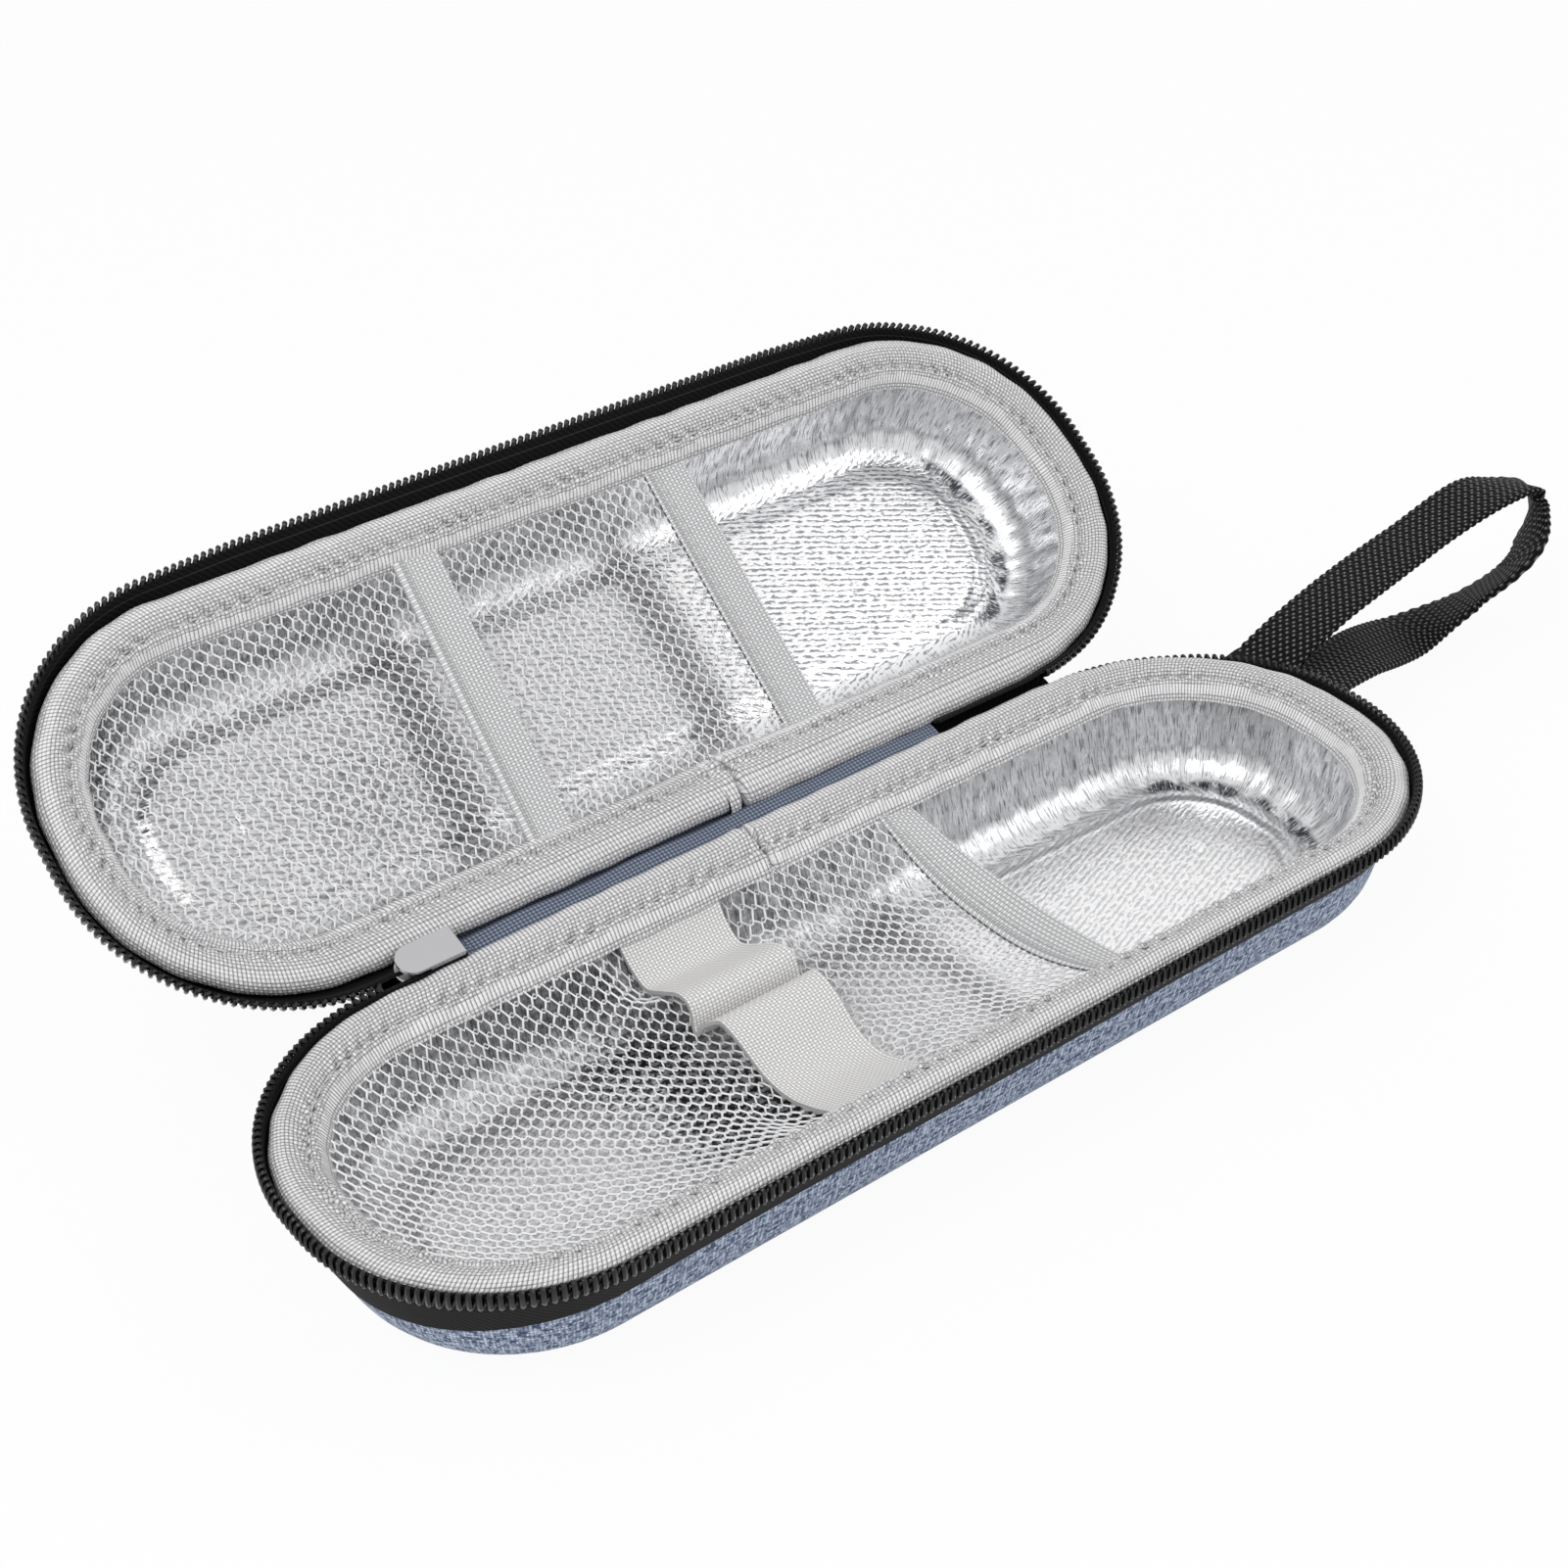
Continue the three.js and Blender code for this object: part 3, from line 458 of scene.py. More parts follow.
webbing, tree, shader = new_finish("black webbing")
pillow, top = weave(tree, 0.95, 0.75)
dashes = calc(tree, "MULTIPLY", calc(tree, "POWER", pillow, 3.0), ramp(tree, top, 0.55, 0.85))
colour = blend_colours(tree, dashes, paint(4, 4, 5), paint(128, 128, 132))
fill(tree, shader, {"Base Color": colour, "Roughness": 0.6, "Specular IOR Level": 0.1})
emboss(tree, shader, pillow, 0.16, 0.8)
print(webbing.name, "takes", len(tree.nodes), "nodes")

# %% [markdown]
# ## Crinkled foil
# The lining is aluminium foil on a film. It is bright, with fine upright creases on the walls and
# rows of short slanting dashes on the floor, whose relief is real and whose dark grey is painted
# reflection. One material does both, because three attributes of the mesh say how much of a point
# is wall, how much painted shade and reflection it gets, and how clear its dashes are. The grey
# walls and the dark streaks where wall turns to floor are painted reflection, and the specks
# painted shade and reflection. All of them come from its own colour, so they stay in any light.

# %% Foil
ROW_TURN, ROW_PITCH = math.radians(21), 1.1
foil, tree, shader = new_finish("crinkled foil")
wall_share, shade_and_reflection, dash_share = [
    add(tree, "ShaderNodeAttribute", attribute_name=name).outputs["Fac"]
    for name in ("wall", "shade_and_reflection", "dashes")
]
creases = patches(tree, 0.34, 3.0, 4.0)
turned = add(tree, "ShaderNodeSeparateXYZ", {0: stretched_place(tree, 1, 1, ROW_TURN)})
row = calc(tree, "SINE", calc(tree, "MULTIPLY", turned.outputs[1], 2 * math.pi / ROW_PITCH))
dashes = calc(tree, "MULTIPLY_ADD", row, 0.11, patches(tree, 1.3, 0.5, 2.0, ROW_TURN))
height = add(tree, "ShaderNodeMix", {0: wall_share, 2: dashes, 3: creases}).outputs[0]
# The dark grey of the creases and dashes is painted reflection; their relief is the bump below.
share = ramp(tree, height, 0.39, 0.47)
share = calc(tree, "MAXIMUM", share, calc(tree, "SUBTRACT", 1.0, dash_share))
colour = blend_colours(tree, share, paint(136, 138, 143), paint(252, 252, 253))
# Painted reflection: the walls are a little greyer.
painted_wall_reflection = calc(tree, "MULTIPLY", wall_share, 0.4)
colour = blend_colours(tree, painted_wall_reflection, colour, paint(172, 174, 177))
# Painted reflection: dark streaks where the wall turns to floor, at the right end only.
fillet_reflection = calc(tree, "MULTIPLY", wall_share, calc(tree, "SUBTRACT", 1.0, wall_share))
fillet_reflection = calc(tree, "MULTIPLY", ramp(tree, fillet_reflection, 0.08, 0.2), ramp(tree, creases, 0.42, 0.5))
right_end = window(tree, cloth_place(tree)[0], 112.0, 34.0)
reflection_blots = calc(tree, "MULTIPLY", right_end, ramp(tree, patches(tree, 9, 4), 0.43, 0.52))
colour = blend_colours(tree, calc(tree, "MULTIPLY", fillet_reflection, reflection_blots), colour, paint(56, 60, 70))
# The painted shade and reflection is broken into specks.
specks = ramp(tree, patches(tree, 1.1, 0.9), 0.42, 0.58)
shade_and_reflection = calc(tree, "MULTIPLY", shade_and_reflection, calc(tree, "MULTIPLY_ADD", specks, 1.5, 0.35))
colour = blend_colours(tree, shade_and_reflection, colour, paint(66, 68, 73))
fill(tree, shader, {"Base Color": colour, "Metallic": 0.85, "Roughness": 0.2})
emboss(tree, shader, height, 0.22, 0.45)
print(foil.name, "takes", len(tree.nodes), "nodes")

# %% [markdown]
# ## Foam, metal and what the CAD shows
# Some CAD solids already have the right shape: the foam shells, which only show at their edges, the
# slider and its pull, the moulded end of the zipper and the strap's sewn root. Their meshes stay as
# they are, and they only get a better material in their own slots.

# %% Finishes for the CAD's own solids
foam_black, tree, shader = new_finish("black foam")
place = add(tree, "ShaderNodeTexCoord").outputs["Object"]
grain = add(tree, "ShaderNodeTexNoise", {"Vector": place, "Scale": 2500.0})
fill(tree, shader, {"Base Color": paint(60, 60, 64), "Roughness": 0.9})
emboss(tree, shader, grain.outputs[0], 0.1, 0.5)

metal, tree, shader = new_finish("satin plated metal")
fill(tree, shader, {"Base Color": paint(188, 188, 190), "Metallic": 0.9, "Roughness": 0.34})

cad_finishes = {"base_foam_shell": foam_black, "lid_foam_shell": foam_black,
                "zipper_slider": metal, "zipper_pull": metal,
                "zipper_chain_end": coil_black, "strap_root": webbing}
for node, finish in cad_finishes.items():
    dress(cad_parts[node], finish)
    print(node, "is now", finish.name)

# %% [markdown]
# ## Tray sections
# The cover and the foil lining are both trays. Their section goes down the leaning wall, round a
# wide fillet and in to the middle line. They could be cut from a block, but a grid laid round the
# rim keeps its UV map. Cloth on a moulded tray is stretched, not cut, so on the floor the map
# simply takes x and y, and on the wall it takes the distances round the rim and down the wall.

# %% Trays
FLOOR_INSET = 15.8  # from here inwards a tray counts as floor
WALL_FADE = 4


def tray_section(layer, top, rows_down, floor_steps):
    """(inset, depth) down the wall, round the fillet and over the floor"""
    radius = FILLET_RADIUS - layer
    turns = np.linspace(DRAFT, math.pi / 2, 10)
    across, down = FILLET_INSET - radius * np.cos(turns), FILLET_DEPTH + radius * np.sin(turns)
    depths = np.linspace(top, down[0], rows_down)[:-1]
    wall = np.stack([[wall_inset(layer, d) for d in depths], depths], 1)
    floor = [[inset, HALF_DEPTH - layer] for inset in floor_steps]
    return np.vstack([wall, np.stack([across, down], 1), floor])


def tray(name, section, spacing, thickness, relief):
    """A tray laid round the rim; its attribute "wall" says how much of each point is wall"""
    piece = round_the_rim(name, section, spacing, relief)
    mesh = piece.data
    inset = section[:, 0]
    columns = len(mesh.vertices) // len(section)
    corners = read(mesh.loops, "vertex_index", kind=int)
    cloth = read(mesh.uv_layers[0].data, "uv", 2)
    on_floor = np.repeat(inset[:-1] >= FLOOR_INSET, 4 * (columns - 1))
    cloth[on_floor] = read(mesh.vertices, "co", 3)[corners[on_floor], :2]
    mesh.uv_layers[0].data.foreach_set("uv", cloth.astype(np.float32).ravel())
    wall = np.clip((FLOOR_INSET - inset) / WALL_FADE, 0, 1)
    mesh.attributes.new("wall", "FLOAT", "POINT")
    mesh.attributes["wall"].data.foreach_set("value", np.repeat(wall, columns).astype(np.float32))
    return close_up(piece, thickness)


# %% [markdown]
# ## The moulded cover
# The blue cloth is heat-formed over the foam, so it has no seam and no fold at all. It is one tray
# with nothing added, made once for the base and copied for the lid.

# %% Cover
cover_section = tray_section(0, 2.4, 9, [17, 19, 21, 24, 27, 30, 32, RIM_Y])
cover = tray("base_cover", cover_section, 1.6, 0.6, lambda turn, walked: 0.0)
lid_cover = copy_of(cover, "lid_cover")
settle(cover, "base", denim, "base_fabric_cover")
settle(lid_cover, "lid", denim, "lid_fabric_cover")

# %% [markdown]
# ## The foil lining
# The lining carries a raised panel in its floor, whose edge shows as a soft step. Foil never lies
# quite smooth. Random displacement would break it into lumps, so a few crossed waves move the grid
# in upright creases, and whole numbers of them go round the rim, so that the grid's two ends meet.
# The foil also mirrors things that stand round a real camera. Here spots of its own colour stand
# for those, and for the shade of the nets that cover its left part.

# %% Foil lining
LINING_LAYER, PANEL_DEPTH = 4.1, 18.9
NET_SHADE_END = 21  # the nets cover the foil to the left of this x


def crinkle(turn, walked):
    """Upright creases that fade out on the floor, in millimetres"""
    waves = 0.12 * np.sin(97 * turn + 1.4 * np.sin(walked / 2.3))
    waves = waves + 0.09 * np.sin(143 * turn + walked / 1.9)
    waves = waves + 0.14 * np.sin(61 * turn - walked / 3.1)
    return waves * np.clip((27 - walked) / 6, 0, 1) * np.clip(walked / 4, 0.2, 1)


def darken(piece, spots, dashes, all_over):
    """Paints shade under a net, shade and reflection in spots (x, y, size, amount); says how dashed
    """
    mesh = piece.data
    x, y = read(mesh.vertices, "co", 3)[:, :2].T / MM
    covered = np.clip((NET_SHADE_END - x) / 2, 0, 1)
    # Painted shade: the nets' shade on the foil, and an even shade over all of it.
    shade_and_reflection = all_over + 0.16 * covered
    # Spots of painted reflection and shade, such as the pen elastic's shadow.
    for spot_x, spot_y, size, amount in spots:
        shade_and_reflection += amount * np.exp(-((x - spot_x) ** 2 + (y - spot_y) ** 2) / size**2)
    wall = read(mesh.attributes["wall"].data, "value")
    dashed = np.maximum(wall, dashes * (1 - 0.3 * covered))
    for name, values in (("shade_and_reflection", shade_and_reflection.clip(0, 0.9)), ("dashes", dashed)):
        mesh.attributes.new(name, "FLOAT", "POINT").data.foreach_set("value", values)
    print(piece.name, "is dull by", round(float(shade_and_reflection.mean()), 2), "on the whole")


panel_edge = [[16.8, 19.85], [17.6, 19.65], [18.4, 19.3], [19.2, 19.0], [20.0, PANEL_DEPTH]]
panel = [[inset, PANEL_DEPTH] for inset in (21, 22, 24, 26, 28, 30, 31, 32, 33, RIM_Y)]
lining_section = np.vstack([tray_section(LINING_LAYER, 2.6, 12, [16.4]), panel_edge, panel])
lining = tray("base_lining", lining_section, 1.0, 0.3, crinkle)
lid_lining = copy_of(lining, "lid_lining")
darken(lining, [(-38, 14, 10, 0.45), (-30, -8, 13, 0.65)], 0.4, 0.06)
darken(lid_lining, [(-88, -18, 12, 0.35), (-45, 4, 14, 0.2)], 0.9, 0.02)
settle(lining, "base", foil, "base_foil_lining")
settle(lid_lining, "lid", foil, "lid_foil_lining")

# %% [markdown]
# ## How the rolls swell
# Where the two halves press on each other at the back, the soft rolls swell outwards, most near the
# hinge's right end. The swelling has a function of its own, because the lid's zipper tape stands
# outside its roll and has to move out with it. Distances up to the middle of the front belong to
# the right end, the others to the left.

# %% Swelling of the rolls
RIGHT_PART = 150


def bulge(half, along):
    """How far the roll swells outwards near the back, where the halves lean on each other"""
    right = np.interp(along, [20, 35, 62, 72, 90], [1.8, 1.9, 2.0, 1.1, 0])
    left = np.interp(RIM_TOTAL - along, [45, 90], [1.8, 0])
    if half == "lid":
        return np.where(along < RIGHT_PART, right * 1.05, left * 0.6)
    return np.where(along < RIGHT_PART, right, left)


for half in ("base", "lid"):
    swollen = [round(float(bulge(half, np.array(along))), 2) for along in (50, 80, 430)]
    print(half, "roll swells by", swollen, "mm at 50, 80 and 430 mm along")

# %% [markdown]
# ## The binding roll
# A padded strip is sewn over the rim: a round roll outside, a stitched groove and a flat strip with
# a free edge inside. Its section is one closed line, laid round the rim like the trays. The ribs
# are modelled as well as drawn, because they break the outline, and they lean as the drawn ones do.
# Along the groove the stitches pull the cloth into small uneven pleats. The two ends meet in a butt
# seam at the back, where the roll is also fatter.

# %% Binding
outer_side = [(2.0, 5.0), (1.2, 5.1), (0.35, 4.2), (0.0, 2.65), (0.73, 1.15), (2.5, 0.42)]
outer_side += [(4.0, 0.65), (5.0, 1.35), (5.5, 2.15), (5.95, 1.7), (6.5, 1.8), (7.4, 2.9)]
outer_side += [(8.3, 4.3), (8.6, 4.9), (8.3, 5.2)]
under_side = [(7.3, 4.1), (6.6, 2.95), (5.5, 2.55), (4.0, 2.35), (2.7, 2.3), (2.3, 3.2)]
ROWS_ABOVE = 40
RIBS = int(round(RIM_TOTAL / RIB))
PLEATS = 146
GROOVE, GROOVE_DEPTH = 5.5, 2.0


def binding_waves(along, reach, groove_at):
    """Ribs, pleats and unevenness of the cloth, in millimetres outwards"""
    turn = 2 * math.pi * along / RIM_TOTAL
    leaning = 2 * math.pi * LEAN / RIB * np.minimum(reach, LEAN_REACH)
    ribs = -0.05 * np.cos(RIBS * turn + leaning)
    nearness = np.exp(-(((reach - groove_at) / 2.0) ** 2))
    uneven = 0.34 + 0.15 * np.sin(23 * turn) + 0.1 * np.sin(41 * turn + 2)
    slant = (reach - groove_at) * 1.7
    pleats = uneven * nearness * np.cos(PLEATS * turn + slant + np.sin(19 * turn))
    swell = 0.11 * np.sin(53 * turn + reach / 1.6) * np.sin(7 * turn + 1)
    sway = 0.06 * (np.sin(11 * turn) + np.sin(17 * turn + 1) + 0.7 * np.sin(29 * turn + 2))
    return ribs + pleats + swell * (1 - nearness) + sway * np.clip(nearness + 0.4, 0, 1)


def binding_roll(half, seam):
    """The binding of one half; seam is where its ends meet, along the rim"""
    above = smooth_path(outer_side, ROWS_ABOVE)[0]
    section = np.vstack([above, under_side, above[:1]])
    visible = np.concatenate([np.ones(len(above)), np.zeros(len(under_side)), [1]])[:, None]
    tangent = unit(np.gradient(section, axis=0))
    outwards = np.stack([tangent[:, 1], -tangent[:, 0]], 1) * visible
    inset, depth = section[:, :1], section[:, 1:]
    reach = walk(section)[:, None]
    groove_at = reach[np.argmin(np.hypot(above[:, 0] - GROOVE, above[:, 1] - GROOVE_DEPTH))]
    along = np.linspace(0, RIM_TOTAL, 3 * RIBS + 1)[None, :]
    past = (along - seam + RIM_TOTAL / 2) % RIM_TOTAL - RIM_TOTAL / 2
    lap = 0.7 * np.exp(-np.abs(past) / 3.0) * np.clip(inset / 2, 0, 1)
    butt_seam = -2.2 * np.exp(-((past / 0.5) ** 2))
    rise = binding_waves(along, reach, groove_at) + lap + butt_seam
    swollen = bulge(half, along) * np.clip((3 - inset) / 3, 0, 1)
    x, y = rim_place(along, inset - swollen + outwards[:, :1] * rise)
    z = -(depth + outwards[:, 1:] * rise)
    return close_up(lay_cloth(half + "_binding", rows_of(x, y, z), rows_of(along, reach)))


for half, seam in (("base", RIM_TOTAL - 1.5), ("lid", 3.0)):
    roll = binding_roll(half, seam)
    settle(roll, half, binding, half + "_binding_tape")

# %% [markdown]
# ## The zipper's tape
# A black tape is sewn low on the cover and stands up beside the roll. On the base it has slid down
# behind the roll at the back right. An open zipper spreads, so the lid's free edge stands off its
# far side. Both are functions of the distance along the rim, because the coil on the tape's upper
# edge has to follow the same line.

# %% Tape
TAPE_START, TAPE_END = 42.5, RIM_TOTAL - 52.9
TAPE_FOLD, TAPE_FOOT = 3.4, 9.0
tape_section = [(-0.9, 0.6), (-0.95, 1.8), (-0.7, TAPE_FOLD), (0.5, 5.8), (2.1, TAPE_FOOT)]
tape_stops = RIM_TOTAL * np.array([0, 0.2, 0.32, 0.4, 0.5, 0.6, 0.66, 0.72, 0.78, 0.85, 1])
tape_lows = [8.4, 8.0, 7.6, 7.6, 8.4, 8.4, 9.2, 12.4, 12.6, 9.5, 8.4]
FLARE_STOPS = [0, 0.25, 0.33, 0.39, 0.5, 0.61, 0.68, 0.75, 0.81, 0.86, 1]
FLARES = {
    "base": [-0.3, 0.0, 0.0, 0.1, 0.6, 0.1, 0.0, 0.0, 0.0, -0.2, -0.3],
    "lid": [0.4, 0.2, 0.7, 2.2, 2.5, 2.4, 1.0, 0.5, 1.2, 2.6, 2.6],
}


def flare(half, along, depth):
    """How far a tape stands off its rim at a depth"""
    off = np.interp(along / RIM_TOTAL, FLARE_STOPS, FLARES[half])
    if half == "lid":
        off = off + np.where(along < RIGHT_PART, bulge(half, along), 0)
    return off * np.clip((6.5 - depth) / 6.0, 0, None) ** 1.2


def sink(half, along):
    """How far the base's tape has slid down behind the roll at the back right"""
    return np.interp(along, [88, 116], [2.0, 0]) * (half == "base")


def zipper_tape(half):
    """Tape from beside the roll to its edge on the cover"""
    along = np.linspace(TAPE_START, TAPE_END, 400)[None, :]
    low = np.interp(along[0], tape_stops, tape_lows)
    low = np.convolve(np.pad(low, 12, mode="edge"), np.ones(25) / 25, mode="valid")
    shape, walked = smooth_path(tape_section, 20)
    share = (shape[:, 1:] - TAPE_FOLD).clip(0) / (TAPE_FOOT - TAPE_FOLD)
    depth = shape[:, 1:] + share * (low - TAPE_FOOT)
    foot_inset = wall_inset(-0.65, 0) + low * math.tan(DRAFT)
    inset = shape[:, :1] + share * (foot_inset - tape_section[-1][0])
    x, y = rim_place(along, inset - flare(half, along, depth))
    depth = depth + sink(half, along) * (1 - share)
    cloth = rows_of(along, walked[:, None])
    return close_up(lay_cloth(half + "_tape", rows_of(x, y, -depth), cloth), 0.5)


for half in ("base", "lid"):
    settle(zipper_tape(half), half, black_tape, half + "_zipper_tape")

# %% [markdown]
# ## The zipper's coil
# The teeth of this zipper are one nylon thread, wound round and round and flattened. A tooth could
# be modelled once and repeated, but then the threads between the teeth would be missing, so a tube
# is laid on the winding itself. It runs outside the tape, once for each half and half a pitch
# apart, so that the two mesh when the case is closed.

# %% Coil
PITCH, WIRE = 1.316, 0.42
COIL_START, COIL_END = 66.0, RIM_TOTAL - 65.5
SIDES, STEPS = 6, 12  # round the wire, and along one turn of the winding


def flattened(wave, power):
    """A wave with broader crests"""
    return np.sign(wave) * np.abs(wave) ** power


def winding(half, phase):
    """The line of the thread along the rim, how many turns it has made, and the rim's direction"""
    turns = int((COIL_END - COIL_START) / PITCH)
    made = np.arange(turns * STEPS + 1) / STEPS
    angle = 2 * math.pi * made
    ahead = np.clip(np.mod(made, 1) * 2 - 1, 0, 1)
    along = COIL_START + PITCH * (np.floor(made) + ahead + phase)
    depth = 1.3 - 1.15 * flattened(-np.cos(angle), 0.8)
    out = 1.2 + 0.34 * flattened(np.sin(angle), 0.7) + flare(half, along, depth)
    line = np.column_stack([*rim_place(along, -out), -depth - sink(half, along)])
    rim_step = np.array(rim_place(along + 0.5, -out)) - np.array(rim_place(along - 0.5, -out))
    return line, made, np.column_stack([*rim_step, np.zeros(len(made))])


def zipper_coil(half, phase):
    """A tube on the winding, with both ends closed"""
    line, made, rim_way = winding(half, phase)
    way = unit(np.gradient(line, axis=0))
    side = unit(np.cross(way, rim_way))
    over = np.cross(way, side)
    angle = np.linspace(0, 2 * math.pi, SIDES + 1)[:, None]
    ring = np.cos(angle)[..., None] * side + np.sin(angle)[..., None] * over
    piece = lay_cloth(half + "_coil", line + WIRE * ring, rows_of(made[None, :], angle))
    close_up(piece)
    bpy.ops.object.mode_set(mode="EDIT")
    bpy.ops.mesh.select_all(action="DESELECT")
    bpy.ops.mesh.select_non_manifold()
    bpy.ops.mesh.edge_face_add()
    bpy.ops.object.mode_set(mode="OBJECT")
    return piece


for half, phase in (("base", 0.0), ("lid", 0.5)):
    settle(zipper_coil(half, phase), half, coil_black, half + "_zipper_chain")

# %% [markdown]
# ## The cloth hinge
# One strip of dark blue cloth joins the halves. It starts low on the base's back wall, comes up
# between the two rolls, passes the hinge line and goes down the lid's wall in the same way. Two
# pieces, one for each half, would tear apart when the lid moves, so it is laid in one piece from
# wall to wall. Its left end is folded back over itself.

# %% Hinge cloth
HINGE_GAP = HINGE_Y - RIM_Y
HINGE_LEFT, HINGE_RIGHT = -53.0, 42.0


def hinge_line(rise):
    """From the base's wall over the hinge line to the lid's; rise is (outwards, depth) of a side"""
    base_side = [(RIM_Y + out, HALF_DEPTH - depth) for out, depth in rise]
    c, s = math.cos(LID_RAISE), math.sin(LID_RAISE)
    lid_side = [(HINGE_Y + (HINGE_GAP - out) * c + depth * s,
                 HALF_DEPTH + (HINGE_GAP - out) * s - depth * c) for out, depth in rise]
    line, walked = smooth_path(base_side + lid_side[::-1], 60)
    tangent = unit(np.gradient(line, axis=0))
    return line, walked[:, None], np.stack([-tangent[:, 1], tangent[:, 0]], 1)


def across_hinge(name, rise, runs, back, finish):
    """Cloth laid along the hinge; runs is (x, lift) along it, back is how far its slant shows"""
    line, walked, above = hinge_line(rise)
    runs = np.array(runs)
    x = runs[None, :, 0]
    ripple = 0.15 * np.sin(x / 3.7) * np.sin(math.pi * walked / walked[-1]) ** 2
    lift = runs[None, :, 1] + ripple
    x = x + 1.6 * np.sin(walked / 3.1) * back
    places = rows_of(x, line[:, :1] + above[:, :1] * lift, line[:, 1:] + above[:, 1:] * lift)
    flat_x = walk(runs)
    piece = close_up(lay_cloth(name, places, rows_of(flat_x[None, :], walked)), 0.45)
    dress(piece, finish)
    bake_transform(piece)
    return piece


runs = [(x, 0.0) for x in np.arange(HINGE_RIGHT, HINGE_LEFT + 0.6, -1.0)]
runs += [(-52.75, 0.05), (-53.0, 0.25), (-53.05, 0.5), (-52.85, 0.75)]
runs += [(-52.2, 0.85), (-51.2, 0.8), (-50.2, 0.75)]
back = np.zeros(len(runs))
back[-2:] = (0.4, 1.0)
rise = [(-2.9, 11.4), (-2.3, 8.8), (-1.3, 6.8), (1.0, 5.2), (2.0, 4.0), (2.4, 3.0)]
hinge_cloth = across_hinge("cloth_hinge", rise, runs, back, hinge_blue)
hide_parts("base_hinge_fabric", "lid_hinge_fabric")

# %% [markdown]
# ## Gussets
# At both ends of the blue cloth the black tapes of the two halves are joined, so a black gusset
# closes the gap there. It is laid as the blue cloth is. It lies lower, under the slider and the
# closed end of the zipper.

# %% Gussets
rise = [(-1.9, 10.2), (-1.2, 8.4), (-0.1, 7.0), (1.2, 6.4), (2.3, 6.2)]
for name, first, last in (("right_gusset", 69.5, 36.0), ("left_gusset", -51.5, -66.0)):
    runs = [(x, 0.0) for x in np.arange(first, last, -0.5)]
    across_hinge(name, rise, runs, np.zeros(len(runs)), black_tape)

# %% [markdown]
# ## Net, band and elastic finishes
# The nets are a pale polyester. The bands at the pocket mouths are a fine twill tape with one
# darker line along the hem. The pen elastic is a fine knit whose rows run across the case. All are
# nearly white, so it is the painted shade between their threads that gives them their tone.

# %% Inner cloth finishes
net_pale, tree, shader = new_finish("pale net")
fill(tree, shader, {"Base Color": paint(250, 250, 251), "Roughness": 0.5})

band_cloth, tree, shader = new_finish("pale twill band")
pillow, top = weave(tree, 0.7, 0.5)
# Painted shade: the low parts between the threads are darker.
share = ramp(tree, one_thread_lower(tree, pillow, top, 0.5), 0.1, 0.75)
colour = blend_colours(tree, share, paint(136, 137, 139), paint(244, 244, 245))
hem_line = window(tree, cloth_place(tree)[0], 1.0, 0.08)
colour = blend_colours(tree, hem_line, colour, paint(120, 120, 120))
fill(tree, shader, {"Base Color": colour, "Roughness": 0.7})
emboss(tree, shader, pillow, 0.08, 0.5)
print(band_cloth.name, "takes", len(tree.nodes), "nodes")

elastic_knit, tree, shader = new_finish("pale knitted elastic")
pillow, top = weave(tree, 0.62, 0.5)
# Painted shade: the low parts between the threads are darker.
share = ramp(tree, one_thread_lower(tree, pillow, top, 0.6), 0.15, 0.75)
colour = blend_colours(tree, share, paint(166, 165, 165), paint(255, 254, 253))
fill(tree, shader, {"Base Color": colour, "Roughness": 0.75})
emboss(tree, shader, pillow, 0.12, 0.6)
print(elastic_knit.name, "takes", len(tree.nodes), "nodes")

# %% [markdown]
# ## How nets hang
# A net is sewn in under the strip round the rim and at its band. Between them it hangs a little,
# most along the middle line. The pen elastic pulls the base's net down where it dips. A simulation
# would find such a shape too, but a formula can be matched to what is seen, so the net's depth
# there is simply the larger of the two.

# %% Net and elastic depths
NET_REACH = RIM_RADIUS - 8.2  # the nets end this far from the line that the corners turn about
ELASTIC_LEFT, ELASTIC_RIGHT = -31.5, -12.3
elastic_line = [(28.0, 4.6), (26.3, 5.4), (23.3, 8.6), (19.6, 10.2), (14.6, 7.6), (10.2, 5.0)]
elastic_line += [(7.4, 4.6), (6.1, 6.0), (5.5, 8.6), (4.6, 8.7), (3.6, 6.8), (1.0, 5.5)]
elastic_line += [(-3.0, 6.6), (-8.8, 9.8), (-14.3, 10.3), (-19.8, 8.4), (-25.4, 5.4), (-28.0, 4.4)]
elastic_path, elastic_walked = smooth_path(elastic_line, 150)


def past_spine(x, y):
    """How far a place is from the small rectangle that the corners turn about"""
    return np.hypot(np.clip(np.abs(x) - HALF_STRAIGHT, 0, None),
                    np.clip(np.abs(y) - HALF_END, 0, None))


def hang(x, y):
    """0 at a net's fixed edges, 1 along the middle line"""
    share = np.clip(1 - past_spine(x, y) / NET_REACH, 0, 1)
    return 1 - (1 - share) ** 2


def base_net_depth(x, y):
    """The base's net, pulled down by the elastic"""
    free = 4.4 + 6.6 * hang(x, y)
    pulled = np.interp(-y, -elastic_path[:, 0], elastic_path[:, 1]) + 0.9
    away = np.maximum(np.maximum(ELASTIC_LEFT - x, x - ELASTIC_RIGHT), 0)
    near = np.clip(1 - away / 11, 0, 1) ** 2
    near = near * near * (3 - 2 * near)
    return free + near * np.maximum(pulled - free, 0)


def lid_net_depth(x, y):
    """The lid's nets are nearly flat"""
    return 4.8 + 1.5 * hang(x, y)


middle, side = [round(float(base_net_depth(-60.0, y)), 1) for y in (0.0, 20.0)]
print("the base's net is", middle, "mm deep in the middle and", side, "near its side")

